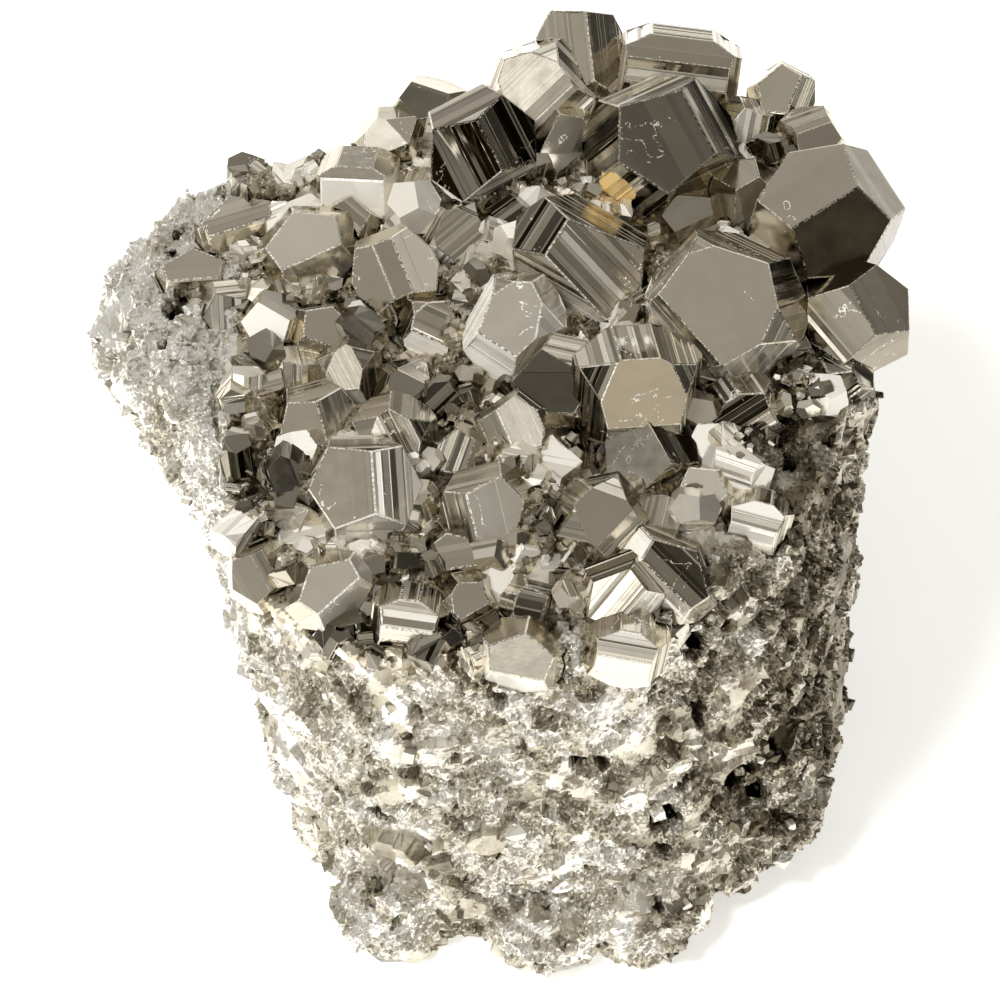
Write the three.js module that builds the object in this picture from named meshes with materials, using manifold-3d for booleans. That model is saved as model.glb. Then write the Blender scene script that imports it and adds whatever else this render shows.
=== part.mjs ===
// Pyrite specimen: intergrown pyritohedral crystals on a block of massive granular pyrite.
//
// The block is one broken piece of granular pyrite with a flat underside. Its upper face carries
// the crystals, which rise from sockets in the granular mass. Every crystal is a solid of its own,
// bounded by true pyrite faces: the pyritohedron {210}, with small octahedron {111} and cube {100}
// faces on some. Millimetres, +Z up, origin in the middle of the underside of the bounding box.
import * as THREE from "three";
import { mergeVertices } from "three/addons/utils/BufferGeometryUtils.js";
import Module from "manifold-3d";

const wasm = await Module();
wasm.setup();

const DEG = Math.PI / 180;

// ---- Driving dimensions ------------------------------------------------------------------------

const CONTACT_GAP = 0.3; // between a crystal and whatever it grew against
const DISPLAY_ELEVATION = 48; // degrees above the horizon of the side that the specimen shows

// The upper face of the block: a plane that climbs to the back and to the right.
const TOP = { height: 49.6, climbBack: 0.11, climbRight: 0.06 };
const WING = { from: -15, droop: 0.006 }; // left of here the upper face bends down
const SEAT_DEPTH = 1.1; // how deep below the upper face a crystal of rise 0 has its centre

// The block's outline at shares of its height, as radii from the Z axis, anticlockwise from +X.
// The last two lie above the upper face and give the block its shoulder.
const OUTLINES = [
  { share: 0, radii: [31, 30, 30, 29, 27, 25, 24, 24, 23, 23, 27, 34, 35, 36, 36, 33] },
  { share: 0.15, radii: [34, 32, 31, 31, 29, 27, 26, 26, 25, 25, 30, 35, 36, 37.5, 39.5, 37] },
  { share: 0.35, radii: [34.5, 34, 34, 33, 31, 29, 28, 30, 27, 27, 31.5, 36, 37, 38, 39.5, 37.5] },
  { share: 0.65, radii: [34.5, 36, 37, 35, 32, 30, 32, 39, 32, 29, 33.5, 36.5, 37, 38, 38, 36.5] },
  { share: 0.88, radii: [35.5, 38, 39, 37, 34, 32, 36, 45, 36, 30, 34, 36.5, 37, 37, 36, 36] },
  { share: 1, radii: [35, 37, 38, 36, 33, 31, 34, 42, 34, 29, 33, 35.5, 35.5, 35.5, 33, 34] },
  { share: 1.15, radii: [30, 32, 33, 31, 28, 26, 29, 35, 28, 24, 27, 29, 29, 29, 27, 29] },
];

const UNDERSIDE = 1.2; // the block is cut flat here, above its roughest corners
const AROUND = 48; // facets round the block
const SIDE_RINGS = 14;
const TOP_CELLS = 14; // facets along each side of the upper face
const TOP_EXTENT = 100;
const LUMP_HEIGHT = 0.9; // of the swellings on the broken sides
const LUMP_SHARES = { broad: 0.7, fine: 0.5 };
const BREAK_DEPTH = 0.75; // how far the broken surface strays at each grain

// Rounded granular knobs that swell out of the block: centre and radius.
const KNOBS = [
  { at: [-10.5, -33, 4.5], radius: 5.8 },
  { at: [-3, -31, 9], radius: 6 },
  { at: [4.5, -34.5, 4.5], radius: 6.2 },
  { at: [14, -33, 5], radius: 6.4 },
  { at: [25, -23, 9], radius: 7.6 },
  { at: [-16.5, -22, 17], radius: 6.6 },
  { at: [28.5, -7, 34], radius: 6.6 },
  { at: [31.5, -3.5, 44.5], radius: 5 },
];
const KNOB_DETAIL = 2;

// Where each part of the roughness starts in its own row of random numbers.
const SEEDS = { crystals: 1, top: 5, sides: 7, druse: 11, knobs: 20, hollows: 40, druseGrowth: 100 };

// Hollows in the broken surface: centre and radius.
const HOLLOWS = [
  { at: [28, -27, 23], radius: 3.4 },
  { at: [25.5, -30, 18], radius: 2.6 },
  { at: [-33, 12.5, 44.5], radius: 1.5 },
];

// Small crystals grown as part of the block, in the gaps between the large ones.
const DRUSE = { spacing: 5.2, stray: 1, smallest: 2, largest: 2.9, sunk: 0.2, proud: 1.3 };
const DRUSE_CLEARANCE = 0.85; // of a large crystal's size, which its small neighbours keep clear
const DRUSE_LIMITS = { left: -30, frontRight: 40 }; // where X, and X less Y, leave the block bare
const DRUSE_RIM = 1; // how far in from the rim the small crystals stop
const DRUSE_TILT = 30; // degrees that a small crystal may face away from the display side

// ---- Crystal habits ----------------------------------------------------------------------------

// How far each form lies from the centre, against a pyritohedron face at 1.
const HABITS = {
  plain: { pyritohedron: 1 },
  cornered: { pyritohedron: 1, octahedron: 1.15 },
  manyFaced: { pyritohedron: 1, octahedron: 1.09, cube: 1.05 },
  edged: { pyritohedron: 1, cube: 1.03 },
  blocky: { pyritohedron: 1, cube: 0.88 },
};
const GROWTH_SPREAD = 0.07; // how unevenly the faces of one crystal grew

// ---- Crystals ----------------------------------------------------------------------------------

// at: where the crystal's centre stands over the upper face, X then Y. rise: its height above it.
// size: half of its width, height and depth, seen from its largest face.
// facing: degrees to the right and up that the largest face is turned from the display side.
// spin: degrees anticlockwise that this face is turned in its own plane. At 0 its longest edge,
// and the grooves beside it, run level along the bottom.
const CRYSTALS = [
  // The largest, which keep their shape where crystals meet.
  {
    name: "right_hexagon", habit: "cornered", at: [22, 1], rise: 4.5,
    size: [7.1, 6.5, 5], facing: [-9, 9], spin: -48,
  },
  {
    name: "octagon", habit: "manyFaced", at: [12.8, -8.5], rise: 5,
    size: [5.9, 5.5, 4.6], facing: [10, -15], spin: 4,
  },
  {
    name: "crown", habit: "plain", at: [16, 21.7], rise: 4.5,
    size: [6.1, 6.2, 5.8], facing: [2, 5], spin: 118,
  },
  {
    name: "right_back", habit: "plain", at: [32, 12], rise: 4,
    size: [6.3, 6, 5.9], facing: [-24, 30], spin: 38,
  },
  {
    name: "striated_bar", habit: "plain", at: [8, 9.5], rise: 2.5,
    size: [4.9, 7.2, 5], facing: [14, -5], spin: 238,
  },
  {
    name: "left_front", habit: "plain", at: [-13.3, -17.8], rise: 3,
    size: [5, 4.9, 4.5], facing: [-15, 10], spin: 97,
  },
  {
    name: "centre_tall", habit: "cornered", at: [1.5, 0.5], rise: 4,
    size: [3.9, 4.8, 3.6], facing: [-4, 8], spin: -33,
  },
  {
    name: "dark_striated", habit: "plain", at: [-2, 23], rise: 4,
    size: [5, 5.4, 5], facing: [-16, -17], spin: 113,
  },
  {
    name: "back_slab", habit: "blocky", at: [18, 32.5], rise: 4,
    size: [6.8, 3.9, 4.2], facing: [2, 8], spin: -7,
  },
  {
    name: "peak_front", habit: "cornered", at: [4, 30], rise: 3.5,
    size: [5.2, 5, 4.1], facing: [-13, 5], spin: 44,
  },
  {
    name: "peak_rear", habit: "plain", at: [7.8, 34.3], rise: 2.5,
    size: [5.7, 4.6, 4.6], facing: [-12, 22], spin: 100,
  },
  {
    name: "right_edge", habit: "plain", at: [34.8, 1.4], rise: 2,
    size: [4.7, 4.7, 4.3], facing: [-26, -4], spin: 118,
  },
  {
    name: "left_slab", habit: "plain", at: [-19, 13], rise: 2,
    size: [4.8, 3.4, 3.2], facing: [-4, 9], spin: 24,
  },
  {
    name: "left_twin_face", habit: "edged", at: [-10.5, 9.5], rise: 2,
    size: [4.1, 4.1, 3.8], facing: [-24, -6], spin: 112,
  },
  {
    name: "left_back_box", habit: "blocky", at: [-14.2, 20.5], rise: 2,
    size: [4.4, 3.7, 3.8], facing: [-5, 0], spin: -3,
  },
  {
    name: "left_pillar", habit: "plain", at: [-17.5, -8], rise: 1,
    size: [3.8, 3.7, 3.6], facing: [-15, -4], spin: 105,
  },
  {
    name: "barrel", habit: "cornered", at: [-10, -10], rise: 2,
    size: [3.7, 3, 2.9], facing: [-4, -8], spin: 2,
  },
  {
    name: "centre_dark", habit: "plain", at: [-1.2, -19.5], rise: 2,
    size: [3.8, 3.8, 3.7], facing: [10, 0], spin: 284,
  },
  {
    name: "front_hexagon", habit: "manyFaced", at: [9.5, -22], rise: 3,
    size: [3.9, 3.7, 2.8], facing: [0, 6], spin: 45,
  },
  {
    name: "octagon_shoulder", habit: "plain", at: [6.2, -6.2], rise: 2.5,
    size: [4.4, 4.2, 4], facing: [-20, 6], spin: 150,
  },
  {
    name: "centre_pale", habit: "edged", at: [2, -10.5], rise: 2,
    size: [3.4, 3.8, 3.2], facing: [-10, 8], spin: 295,
  },
  {
    name: "under_octagon", habit: "plain", at: [14, -13.5], rise: 0.8,
    size: [4.4, 4.1, 4], facing: [-12, 6], spin: 122,
  },
  {
    name: "front_long", habit: "plain", at: [16, -27], rise: 1,
    size: [4.6, 2.9, 2.9], facing: [10, 4], spin: -45,
  },
  {
    name: "front_white", habit: "plain", at: [11, -29], rise: 1,
    size: [3.8, 3.2, 3.1], facing: [-6, -5], spin: 50,
  },
  {
    name: "front_striped_box", habit: "edged", at: [11.5, -34], rise: 0,
    size: [4, 2.9, 3], facing: [2, -6], spin: -10,
  },
  {
    name: "right_bars", habit: "edged", at: [23, -9], rise: 1,
    size: [4.2, 3.3, 3.3], facing: [0, -5], spin: 33,
  },
  {
    name: "low_striped", habit: "edged", at: [-8.5, -31], rise: 1,
    size: [3.5, 2.9, 2.8], facing: [0, 0], spin: -8,
  },
  {
    name: "left_low_beige", habit: "plain", at: [-16, -28], rise: 2,
    size: [3.9, 2.7, 2.8], facing: [0, 6], spin: 42,
  },
  {
    name: "left_tall", habit: "cornered", at: [-14.5, -2.5], rise: 1.5,
    size: [2.7, 3.3, 2.7], facing: [-8, 6], spin: 4,
  },
  {
    name: "right_upper_dark", habit: "plain", at: [24.5, 16.5], rise: 2,
    size: [3.5, 3.4, 3.2], facing: [12, -12], spin: 60,
  },
  {
    name: "right_upper_grey", habit: "edged", at: [19, 14.5], rise: 2,
    size: [3, 3, 2.8], facing: [-5, 6], spin: 25,
  },
  {
    name: "wedge", habit: "plain", at: [6, 25], rise: 1.8,
    size: [2.8, 4.3, 3], facing: [8, -4], spin: -40,
  },
  {
    name: "rim_dark", habit: "plain", at: [-7, 31], rise: 1,
    size: [3.5, 3, 3], facing: [-10, 20], spin: 160,
  },
  {
    name: "rim_pale", habit: "cornered", at: [-11, 27.5], rise: 0.8,
    size: [3.3, 3, 3], facing: [-10, 0], spin: 20,
  },
  {
    name: "banded", habit: "cornered", at: [-4, 14.5], rise: 1,
    size: [3.4, 3.3, 3], facing: [2, 6], spin: 40,
  },
  {
    name: "behind_slab", habit: "plain", at: [-15.5, 16], rise: 0.8,
    size: [3.4, 3, 3], facing: [8, 14], spin: 60,
  },
  {
    name: "wing_plate", habit: "plain", at: [-26, 18], rise: 0.2,
    size: [4.1, 2.6, 2.6], facing: [-5, 30], spin: 20,
  },
  {
    name: "wing_flat", habit: "plain", at: [-30.5, 13], rise: 0,
    size: [3.5, 2.1, 2.3], facing: [-4, 26], spin: 5,
  },
  {
    name: "wing_block", habit: "edged", at: [-27, 8], rise: 0.2,
    size: [2.8, 2.8, 2.6], facing: [0, -12], spin: 92,
  },
  {
    name: "wing_white", habit: "plain", at: [-22.5, 4.5], rise: 1,
    size: [2.9, 2.7, 2.7], facing: [-10, 0], spin: 150,
  },
  {
    name: "left_grey", habit: "plain", at: [-17, 3], rise: 1,
    size: [3.1, 2.5, 2.5], facing: [5, 14], spin: -20,
  },
  {
    name: "left_grooved", habit: "edged", at: [-20, -1.5], rise: 0.2,
    size: [2.9, 2.8, 2.6], facing: [0, -10], spin: 90,
  },
  {
    name: "front_block", habit: "edged", at: [15, -20.5], rise: 1,
    size: [2.6, 2.8, 2.6], facing: [0, 5], spin: 0,
  },
  {
    name: "front_bright", habit: "plain", at: [19.5, -17.5], rise: 0.5,
    size: [2.8, 2.6, 2.6], facing: [-10, 14], spin: -35,
  },
  {
    name: "right_low_striated", habit: "edged", at: [24, -20.3], rise: 0,
    size: [3.4, 2.6, 2.7], facing: [0, 0], spin: -15,
  },
  {
    name: "right_white", habit: "plain", at: [20.5, -12], rise: 0.5,
    size: [2.7, 2.6, 2.5], facing: [-5, 2], spin: -30,
  },
  {
    name: "front_facet", habit: "plain", at: [2, -34.5], rise: 0,
    size: [3.7, 2.7, 2.7], facing: [-5, -8], spin: -10,
  },
  {
    name: "dome", habit: "cornered", at: [-4.5, -24], rise: 0.5,
    size: [3.4, 2.4, 2.4], facing: [0, 14], spin: 10,
  },
  {
    name: "low_pale", habit: "cornered", at: [-3, -29], rise: 1,
    size: [2.5, 2.3, 2.3], facing: [2, 5], spin: 30,
  },
  {
    name: "left_corner", habit: "edged", at: [-22.5, -24], rise: -0.5,
    size: [3, 2.9, 2.8], facing: [-14, 0], spin: 120,
  },
  {
    name: "rear_right_upper", habit: "plain", at: [28.5, 30], rise: 1.8,
    size: [3.1, 2.8, 2.8], facing: [-6, 14], spin: 70,
  },
  {
    name: "rear_right_lower", habit: "edged", at: [31, 24.5], rise: 1.5,
    size: [3, 2.8, 2.8], facing: [10, 4], spin: 200,
  },
  {
    name: "slab_foot", habit: "edged", at: [24.5, 26], rise: 1,
    size: [3.6, 2.9, 2.8], facing: [8, -8], spin: 80,
  },
  {
    name: "centre_dome", habit: "manyFaced", at: [-9, -4.5], rise: 1,
    size: [3, 2.8, 2.7], facing: [0, 5], spin: 40,
  },
  {
    name: "brown_striated", habit: "edged", at: [3, -29.5], rise: 0,
    size: [2.9, 2.8, 2.7], facing: [2, 0], spin: 75,
  },
  {
    name: "right_dark_grooved", habit: "edged", at: [32.5, -4], rise: -0.5,
    size: [3.2, 2.6, 2.6], facing: [-4, -20], spin: 38,
  },
  {
    name: "centre_left_grooved", habit: "edged", at: [-3.5, -11.5], rise: 0.5,
    size: [2.6, 3, 2.6], facing: [-8, 0], spin: 70,
  },
  {
    name: "mid_left", habit: "cornered", at: [-6.5, 3.5], rise: 0.8,
    size: [3.1, 2.8, 2.7], facing: [6, 10], spin: -25,
  },
  {
    name: "small_back", habit: "plain", at: [-8.5, 20], rise: 0.5,
    size: [2.8, 2.6, 2.6], facing: [4, -8], spin: 50,
  },
];

// ---- Colours -----------------------------------------------------------------------------------

const crystalColour = new THREE.MeshStandardMaterial({ color: 0xb4ab95, roughness: 0.22, metalness: 1 });
const granularColour = new THREE.MeshStandardMaterial({ color: 0xa8a18e, roughness: 0.38, metalness: 1 });

// ---- Solids ------------------------------------------------------------------------------------

/** A closed three.js geometry as a manifold-3d solid. */
function solidOf(geometry) {
  const bare = geometry.clone();
  bare.deleteAttribute("normal");
  bare.deleteAttribute("uv");
  const merged = mergeVertices(bare, 1e-4);
  return new wasm.Manifold(
    new wasm.Mesh({
      numProp: 3,
      vertProperties: new Float32Array(merged.attributes.position.array),
      triVerts: new Uint32Array(merged.index.array),
    }),
  );
}

/** A manifold-3d solid as a three.js geometry. */
function geometryOf(solid) {
  const mesh = solid.getMesh();
  const positions = new Float32Array(mesh.numVert * 3);
  for (let i = 0; i < mesh.numVert; i++) {
    positions.set(mesh.vertProperties.subarray(i * mesh.numProp, i * mesh.numProp + 3), i * 3);
  }
  return new THREE.BufferGeometry()
    .setAttribute("position", new THREE.BufferAttribute(positions, 3))
    .setIndex(new THREE.BufferAttribute(new Uint32Array(mesh.triVerts), 1));
}

/** The largest separate piece of a solid, for the crumbs that a cut can leave. */
function largestPiece(solid) {
  return solid.decompose().reduce((a, b) => (a.volume() > b.volume() ? a : b));
}

/** Evenly spread numbers from 0 to 1, the same ones for the same seed. */
function randomFrom(seed) {
  let state = (seed * 2654435761) >>> 0;
  return () => {
    state = (state * 1664525 + 1013904223) >>> 0;
    return state / 4294967296;
  };
}

// ---- Crystals as polyhedra ---------------------------------------------------------------------

const FORMS = {
  pyritohedron: [[0, 1, 2], [1, 2, 0], [2, 0, 1]],
  octahedron: [[1, 1, 1]],
  cube: [[1, 0, 0], [0, 1, 0], [0, 0, 1]],
};

// Turns the face (0 1 2) to look along +Z, with the long edge that it shares with (0 -1 2) below.
const MAIN_FACE_TO_Z = new THREE.Quaternion().setFromAxisAngle(
  new THREE.Vector3(1, 0, 0),
  Math.atan2(1, 2),
);

/** The face normals of one crystal form, every sign of each of its poles. */
function formNormals(form) {
  const found = new Map();
  for (const pole of FORMS[form]) {
    for (const sx of [1, -1]) {
      for (const sy of [1, -1]) {
        for (const sz of [1, -1]) {
          const n = new THREE.Vector3(pole[0] * sx, pole[1] * sy, pole[2] * sz).normalize();
          const key = [n.x, n.y, n.z].map((v) => Math.round(v * 1000) + 0).join();
          found.set(key, n.applyQuaternion(MAIN_FACE_TO_Z));
        }
      }
    }
  }
  return [...found.values()];
}

/** The closed convex geometry inside a set of planes {normal, distance}. */
function polyhedron(planes) {
  const corners = [];
  const faces = planes.map(() => []);
  const inside = (p) => planes.every((q) => q.normal.dot(p) <= q.distance + 1e-6);
  for (let i = 0; i < planes.length; i++) {
    for (let j = i + 1; j < planes.length; j++) {
      for (let k = j + 1; k < planes.length; k++) {
        const [a, b, c] = [planes[i], planes[j], planes[k]];
        const bc = new THREE.Vector3().crossVectors(b.normal, c.normal);
        const volume = a.normal.dot(bc);
        if (Math.abs(volume) < 1e-6) continue;
        const ca = new THREE.Vector3().crossVectors(c.normal, a.normal);
        const ab = new THREE.Vector3().crossVectors(a.normal, b.normal);
        const p = bc.multiplyScalar(a.distance).addScaledVector(ca, b.distance);
        p.addScaledVector(ab, c.distance).divideScalar(volume);
        if (!inside(p)) continue;
        let corner = corners.findIndex((q) => q.distanceTo(p) < 1e-4);
        if (corner < 0) corner = corners.push(p) - 1;
        for (const f of [i, j, k]) if (!faces[f].includes(corner)) faces[f].push(corner);
      }
    }
  }
  const positions = [];
  faces.forEach((face, f) => {
    if (face.length < 3) return;
    const middle = new THREE.Vector3();
    for (const c of face) middle.addScaledVector(corners[c], 1 / face.length);
    const across = corners[face[0]].clone().sub(middle).normalize();
    const along = new THREE.Vector3().crossVectors(planes[f].normal, across);
    const angle = (c) => {
      const arm = corners[c].clone().sub(middle);
      return Math.atan2(arm.dot(along), arm.dot(across));
    };
    const ring = face.map((c) => [angle(c), c]).sort((a, b) => a[0] - b[0]);
    for (let i = 1; i + 1 < ring.length; i++) {
      for (const c of [ring[0][1], ring[i][1], ring[i + 1][1]]) positions.push(...corners[c].toArray());
    }
  });
  return new THREE.BufferGeometry().setAttribute(
    "position",
    new THREE.Float32BufferAttribute(positions, 3),
  );
}

/** The height of the block's upper face at a place. */
function topHeight(x, y) {
  const beyond = Math.max(0, WING.from - x);
  return TOP.height + TOP.climbBack * y + TOP.climbRight * x - WING.droop * beyond ** 2;
}

/** How a crystal is turned: the display side's axes, then its own facing and spin. */
function orientationOf(crystal) {
  const tip = (90 - DISPLAY_ELEVATION) * DEG;
  const display = new THREE.Quaternion().setFromAxisAngle(new THREE.Vector3(1, 0, 0), tip);
  const [right, up] = crystal.facing;
  const own = new THREE.Euler(-up * DEG, right * DEG, crystal.spin * DEG, "YXZ");
  return display.multiply(new THREE.Quaternion().setFromEuler(own));
}

/** The planes of a crystal about its own centre, unturned. Its faces grew unevenly. */
function crystalPlanes(crystal, index) {
  const random = randomFrom(SEEDS.crystals + index);
  const [halfWidth, halfHeight, halfDepth] = crystal.size;
  const planes = [];
  for (const [form, reach] of Object.entries(HABITS[crystal.habit])) {
    for (const normal of formNormals(form)) {
      const ellipsoid = Math.hypot(halfWidth * normal.x, halfHeight * normal.y, halfDepth * normal.z);
      const growth = 1 + GROWTH_SPREAD * (2 * random() - 1);
      planes.push({ normal, distance: ellipsoid * reach * growth });
    }
  }
  return planes;
}

/** A crystal in place, with its faces moved outwards by a margin. */
function crystalSolid(crystal, index, margin) {
  const planes = crystalPlanes(crystal, index);
  for (const plane of planes) plane.distance += margin;
  const [x, y] = crystal.at;
  const place = new THREE.Matrix4().compose(
    new THREE.Vector3(x, y, topHeight(x, y) - SEAT_DEPTH + crystal.rise),
    orientationOf(crystal),
    new THREE.Vector3(1, 1, 1),
  );
  return solidOf(polyhedron(planes).applyMatrix4(place));
}

// ---- The granular block ------------------------------------------------------------------------

/** A smooth value read round a ring of evenly spaced values, at a share of the turn. */
function readRing(values, turn) {
  const at = turn * values.length;
  const i = Math.floor(at);
  const t = at - i;
  const v = (k) => values[(i + k + values.length) % values.length];
  const bend = (v(2) - v(-1) + 3 * (v(0) - v(1))) * t ** 3;
  const lean = (2 * v(-1) - 5 * v(0) + 4 * v(1) - v(2)) * t ** 2;
  return v(0) + 0.5 * ((v(1) - v(-1)) * t + lean + bend);
}

/** The swelling of the broken sides at a place, from -1 to 1. */
function lump(x, y, z) {
  const broad = Math.sin(0.33 * x + 1.3) * Math.sin(0.29 * y + 0.4) * Math.sin(0.31 * z + 2.1);
  const fine = Math.sin(0.71 * x + 0.27 * z) * Math.sin(0.67 * y - 0.5 * z + 1.1);
  return LUMP_SHARES.broad * broad + LUMP_SHARES.fine * fine;
}

/** The radius of the block's side at a share of its height and a share of the turn. */
function sideRadius(share, turn) {
  const above = Math.max(1, OUTLINES.findIndex((o) => o.share >= share));
  const [low, high] = [OUTLINES[above - 1], OUTLINES[above]];
  const t = (share - low.share) / (high.share - low.share);
  return THREE.MathUtils.lerp(readRing(low.radii, turn), readRing(high.radii, turn), t);
}

/** A point of the block's side. The shares of its height end at the rim, which is not level. */
function sidePoint(share, turn) {
  const [c, s] = [Math.cos(2 * Math.PI * turn), Math.sin(2 * Math.PI * turn)];
  const rim = sideRadius(1, turn);
  const z = share * topHeight(rim * c, rim * s);
  const r = sideRadius(share, turn);
  const swollen = r + LUMP_HEIGHT * lump(r * c, r * s, z);
  return [swollen * c, swollen * s, z];
}

/** Moves every corner of a closed geometry a little, as broken grain leaves it. */
function roughened(geometry, depth, seed) {
  const random = randomFrom(seed);
  const bare = geometry.clone();
  bare.deleteAttribute("normal");
  bare.deleteAttribute("uv");
  const merged = mergeVertices(bare, 1e-4);
  const corners = merged.attributes.position;
  for (let i = 0; i < corners.array.length; i++) {
    corners.array[i] += depth * (2 * random() - 1);
  }
  return merged;
}

/** The block's sides as a closed column, which stands above the upper face. */
function columnGeometry() {
  const tallest = OUTLINES[OUTLINES.length - 1].share;
  const rings = [];
  for (let level = 0; level <= SIDE_RINGS; level++) {
    const share = (tallest * level) / SIDE_RINGS;
    rings.push(Array.from({ length: AROUND }, (_, i) => sidePoint(share, i / AROUND)));
  }
  const positions = [];
  const triangle = (...corners) => corners.forEach((p) => positions.push(...p));
  const bottom = [0, 0, 0];
  const top = [0, 0, tallest * topHeight(0, 0)];
  for (let i = 0; i < AROUND; i++) {
    const next = (i + 1) % AROUND;
    for (let level = 0; level < SIDE_RINGS; level++) {
      const [low, high] = [rings[level], rings[level + 1]];
      if ((i + level) % 2) {
        triangle(low[i], low[next], high[next]);
        triangle(low[i], high[next], high[i]);
      } else {
        triangle(low[i], low[next], high[i]);
        triangle(low[next], high[next], high[i]);
      }
    }
    triangle(rings[SIDE_RINGS][i], rings[SIDE_RINGS][next], top);
    triangle(bottom, rings[0][next], rings[0][i]);
  }
  return new THREE.BufferGeometry().setAttribute(
    "position",
    new THREE.Float32BufferAttribute(positions, 3),
  );
}

/** Everything below the upper face and above the underside. */
function slabGeometry() {
  const slab = new THREE.BoxGeometry(TOP_EXTENT, TOP_EXTENT, 1, TOP_CELLS, TOP_CELLS, 1);
  const random = randomFrom(SEEDS.top);
  const corners = mergeVertices(slab.deleteAttribute("normal").deleteAttribute("uv"), 1e-4);
  const position = corners.attributes.position;
  for (let i = 0; i < position.count; i++) {
    const [x, y] = [position.getX(i), position.getY(i)];
    const rough = BREAK_DEPTH * (2 * random() - 1);
    position.setZ(i, position.getZ(i) > 0 ? topHeight(x, y) + rough : UNDERSIDE);
  }
  return corners;
}

/** A rough ball, for a knob to add or a hollow to take away. */
function roughBall({ at, radius }, seed) {
  const ball = new THREE.IcosahedronGeometry(radius, KNOB_DETAIL);
  return solidOf(roughened(ball, BREAK_DEPTH, seed).translate(...at));
}

/** The small crystals between the large ones, as rows like those of the table. */
function druseCrystals() {
  const random = randomFrom(SEEDS.druse);
  const covered = (x, y) =>
    CRYSTALS.some(({ at, size }) => {
      return Math.hypot(at[0] - x, at[1] - y) < DRUSE_CLEARANCE * Math.max(...size);
    });
  const bare = (x, y) => x < DRUSE_LIMITS.left || x - y > DRUSE_LIMITS.frontRight;
  const rimAt = (x, y) => sideRadius(1, (Math.atan2(y, x) / (2 * Math.PI) + 1) % 1) - DRUSE_RIM;
  const rows = [];
  const reach = TOP_EXTENT / 2;
  for (let row = -reach; row < reach; row += DRUSE.spacing) {
    for (let column = -reach; column < reach; column += DRUSE.spacing) {
      const x = column + DRUSE.stray * (2 * random() - 1);
      const y = row + DRUSE.stray * (2 * random() - 1);
      const radius = THREE.MathUtils.lerp(DRUSE.smallest, DRUSE.largest, random());
      const rise = THREE.MathUtils.lerp(-DRUSE.sunk, DRUSE.proud, random());
      const facing = [DRUSE_TILT * (2 * random() - 1), DRUSE_TILT * (2 * random() - 1)];
      const spin = 360 * random();
      if (covered(x, y) || bare(x, y) || Math.hypot(x, y) > rimAt(x, y)) continue;
      rows.push({ at: [x, y], rise, size: [radius, radius, radius], facing, spin, habit: "plain" });
    }
  }
  return rows;
}

/** The block with its knobs, hollows and small crystals, cut flat below. */
function blockSolid() {
  const column = solidOf(roughened(columnGeometry(), BREAK_DEPTH, SEEDS.sides));
  let block = column.intersect(solidOf(slabGeometry()));
  KNOBS.forEach((knob, i) => {
    block = block.add(roughBall(knob, SEEDS.knobs + i));
  });
  HOLLOWS.forEach((hollow, i) => {
    block = block.subtract(roughBall(hollow, SEEDS.hollows + i));
  });
  druseCrystals().forEach((crystal, i) => {
    block = block.add(crystalSolid(crystal, SEEDS.druseGrowth + i, 0));
  });
  const under = new THREE.BoxGeometry(TOP_EXTENT, TOP_EXTENT, TOP_EXTENT);
  return block.subtract(solidOf(under.translate(0, 0, UNDERSIDE - TOP_EXTENT / 2)));
}

// ---- Assembly ----------------------------------------------------------------------------------

const specimen = new THREE.Group();
let block = blockSolid();
const grown = []; // the sockets of the crystals made so far
const crystals = [];

CRYSTALS.forEach((crystal, index) => {
  let solid = crystalSolid(crystal, index, 0);
  for (const neighbour of grown) solid = solid.subtract(neighbour);
  const socket = crystalSolid(crystal, index, CONTACT_GAP);
  grown.push(socket);
  block = block.subtract(socket);
  crystals.push({ name: `${crystal.name}_crystal`, solid: largestPiece(solid) });
});

const mass = new THREE.Mesh(geometryOf(largestPiece(block)), granularColour);
mass.name = "granular_pyrite_block";
specimen.add(mass);
for (const { name, solid } of crystals) {
  const mesh = new THREE.Mesh(geometryOf(solid), crystalColour);
  mesh.name = name;
  specimen.add(mesh);
}

// The origin goes to the middle of the underside of the bounding box.
const bounds = new THREE.Box3().setFromObject(specimen);
const middle = bounds.getCenter(new THREE.Vector3());
for (const mesh of specimen.children) mesh.position.set(-middle.x, -middle.y, -bounds.min.z);

export default specimen;
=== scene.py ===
"""Pyrite specimen: crystals and broken granular pyrite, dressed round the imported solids."""

import logging
import math
import random
from collections.abc import Callable
from dataclasses import dataclass, field
from enum import Enum
from itertools import product

import bmesh
import bpy
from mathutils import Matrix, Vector
from mathutils.bvhtree import BVHTree


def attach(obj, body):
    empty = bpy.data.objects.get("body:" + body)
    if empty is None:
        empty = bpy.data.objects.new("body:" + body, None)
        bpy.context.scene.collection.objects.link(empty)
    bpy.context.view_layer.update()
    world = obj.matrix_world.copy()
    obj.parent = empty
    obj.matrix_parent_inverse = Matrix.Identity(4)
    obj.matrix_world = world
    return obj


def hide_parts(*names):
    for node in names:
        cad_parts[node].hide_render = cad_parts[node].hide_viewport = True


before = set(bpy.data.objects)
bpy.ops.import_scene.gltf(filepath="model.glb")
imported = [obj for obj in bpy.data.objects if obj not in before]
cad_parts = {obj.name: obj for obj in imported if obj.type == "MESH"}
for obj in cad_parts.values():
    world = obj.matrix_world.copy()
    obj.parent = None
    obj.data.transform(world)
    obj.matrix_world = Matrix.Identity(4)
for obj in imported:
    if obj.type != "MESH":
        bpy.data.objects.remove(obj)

# Short names for what the classes below handle most.
Tree = bpy.types.NodeTree
Socket = bpy.types.NodeSocket
Mesh = bmesh.types.BMesh
Face = bmesh.types.BMFace
Piece = bpy.types.Object

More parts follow.
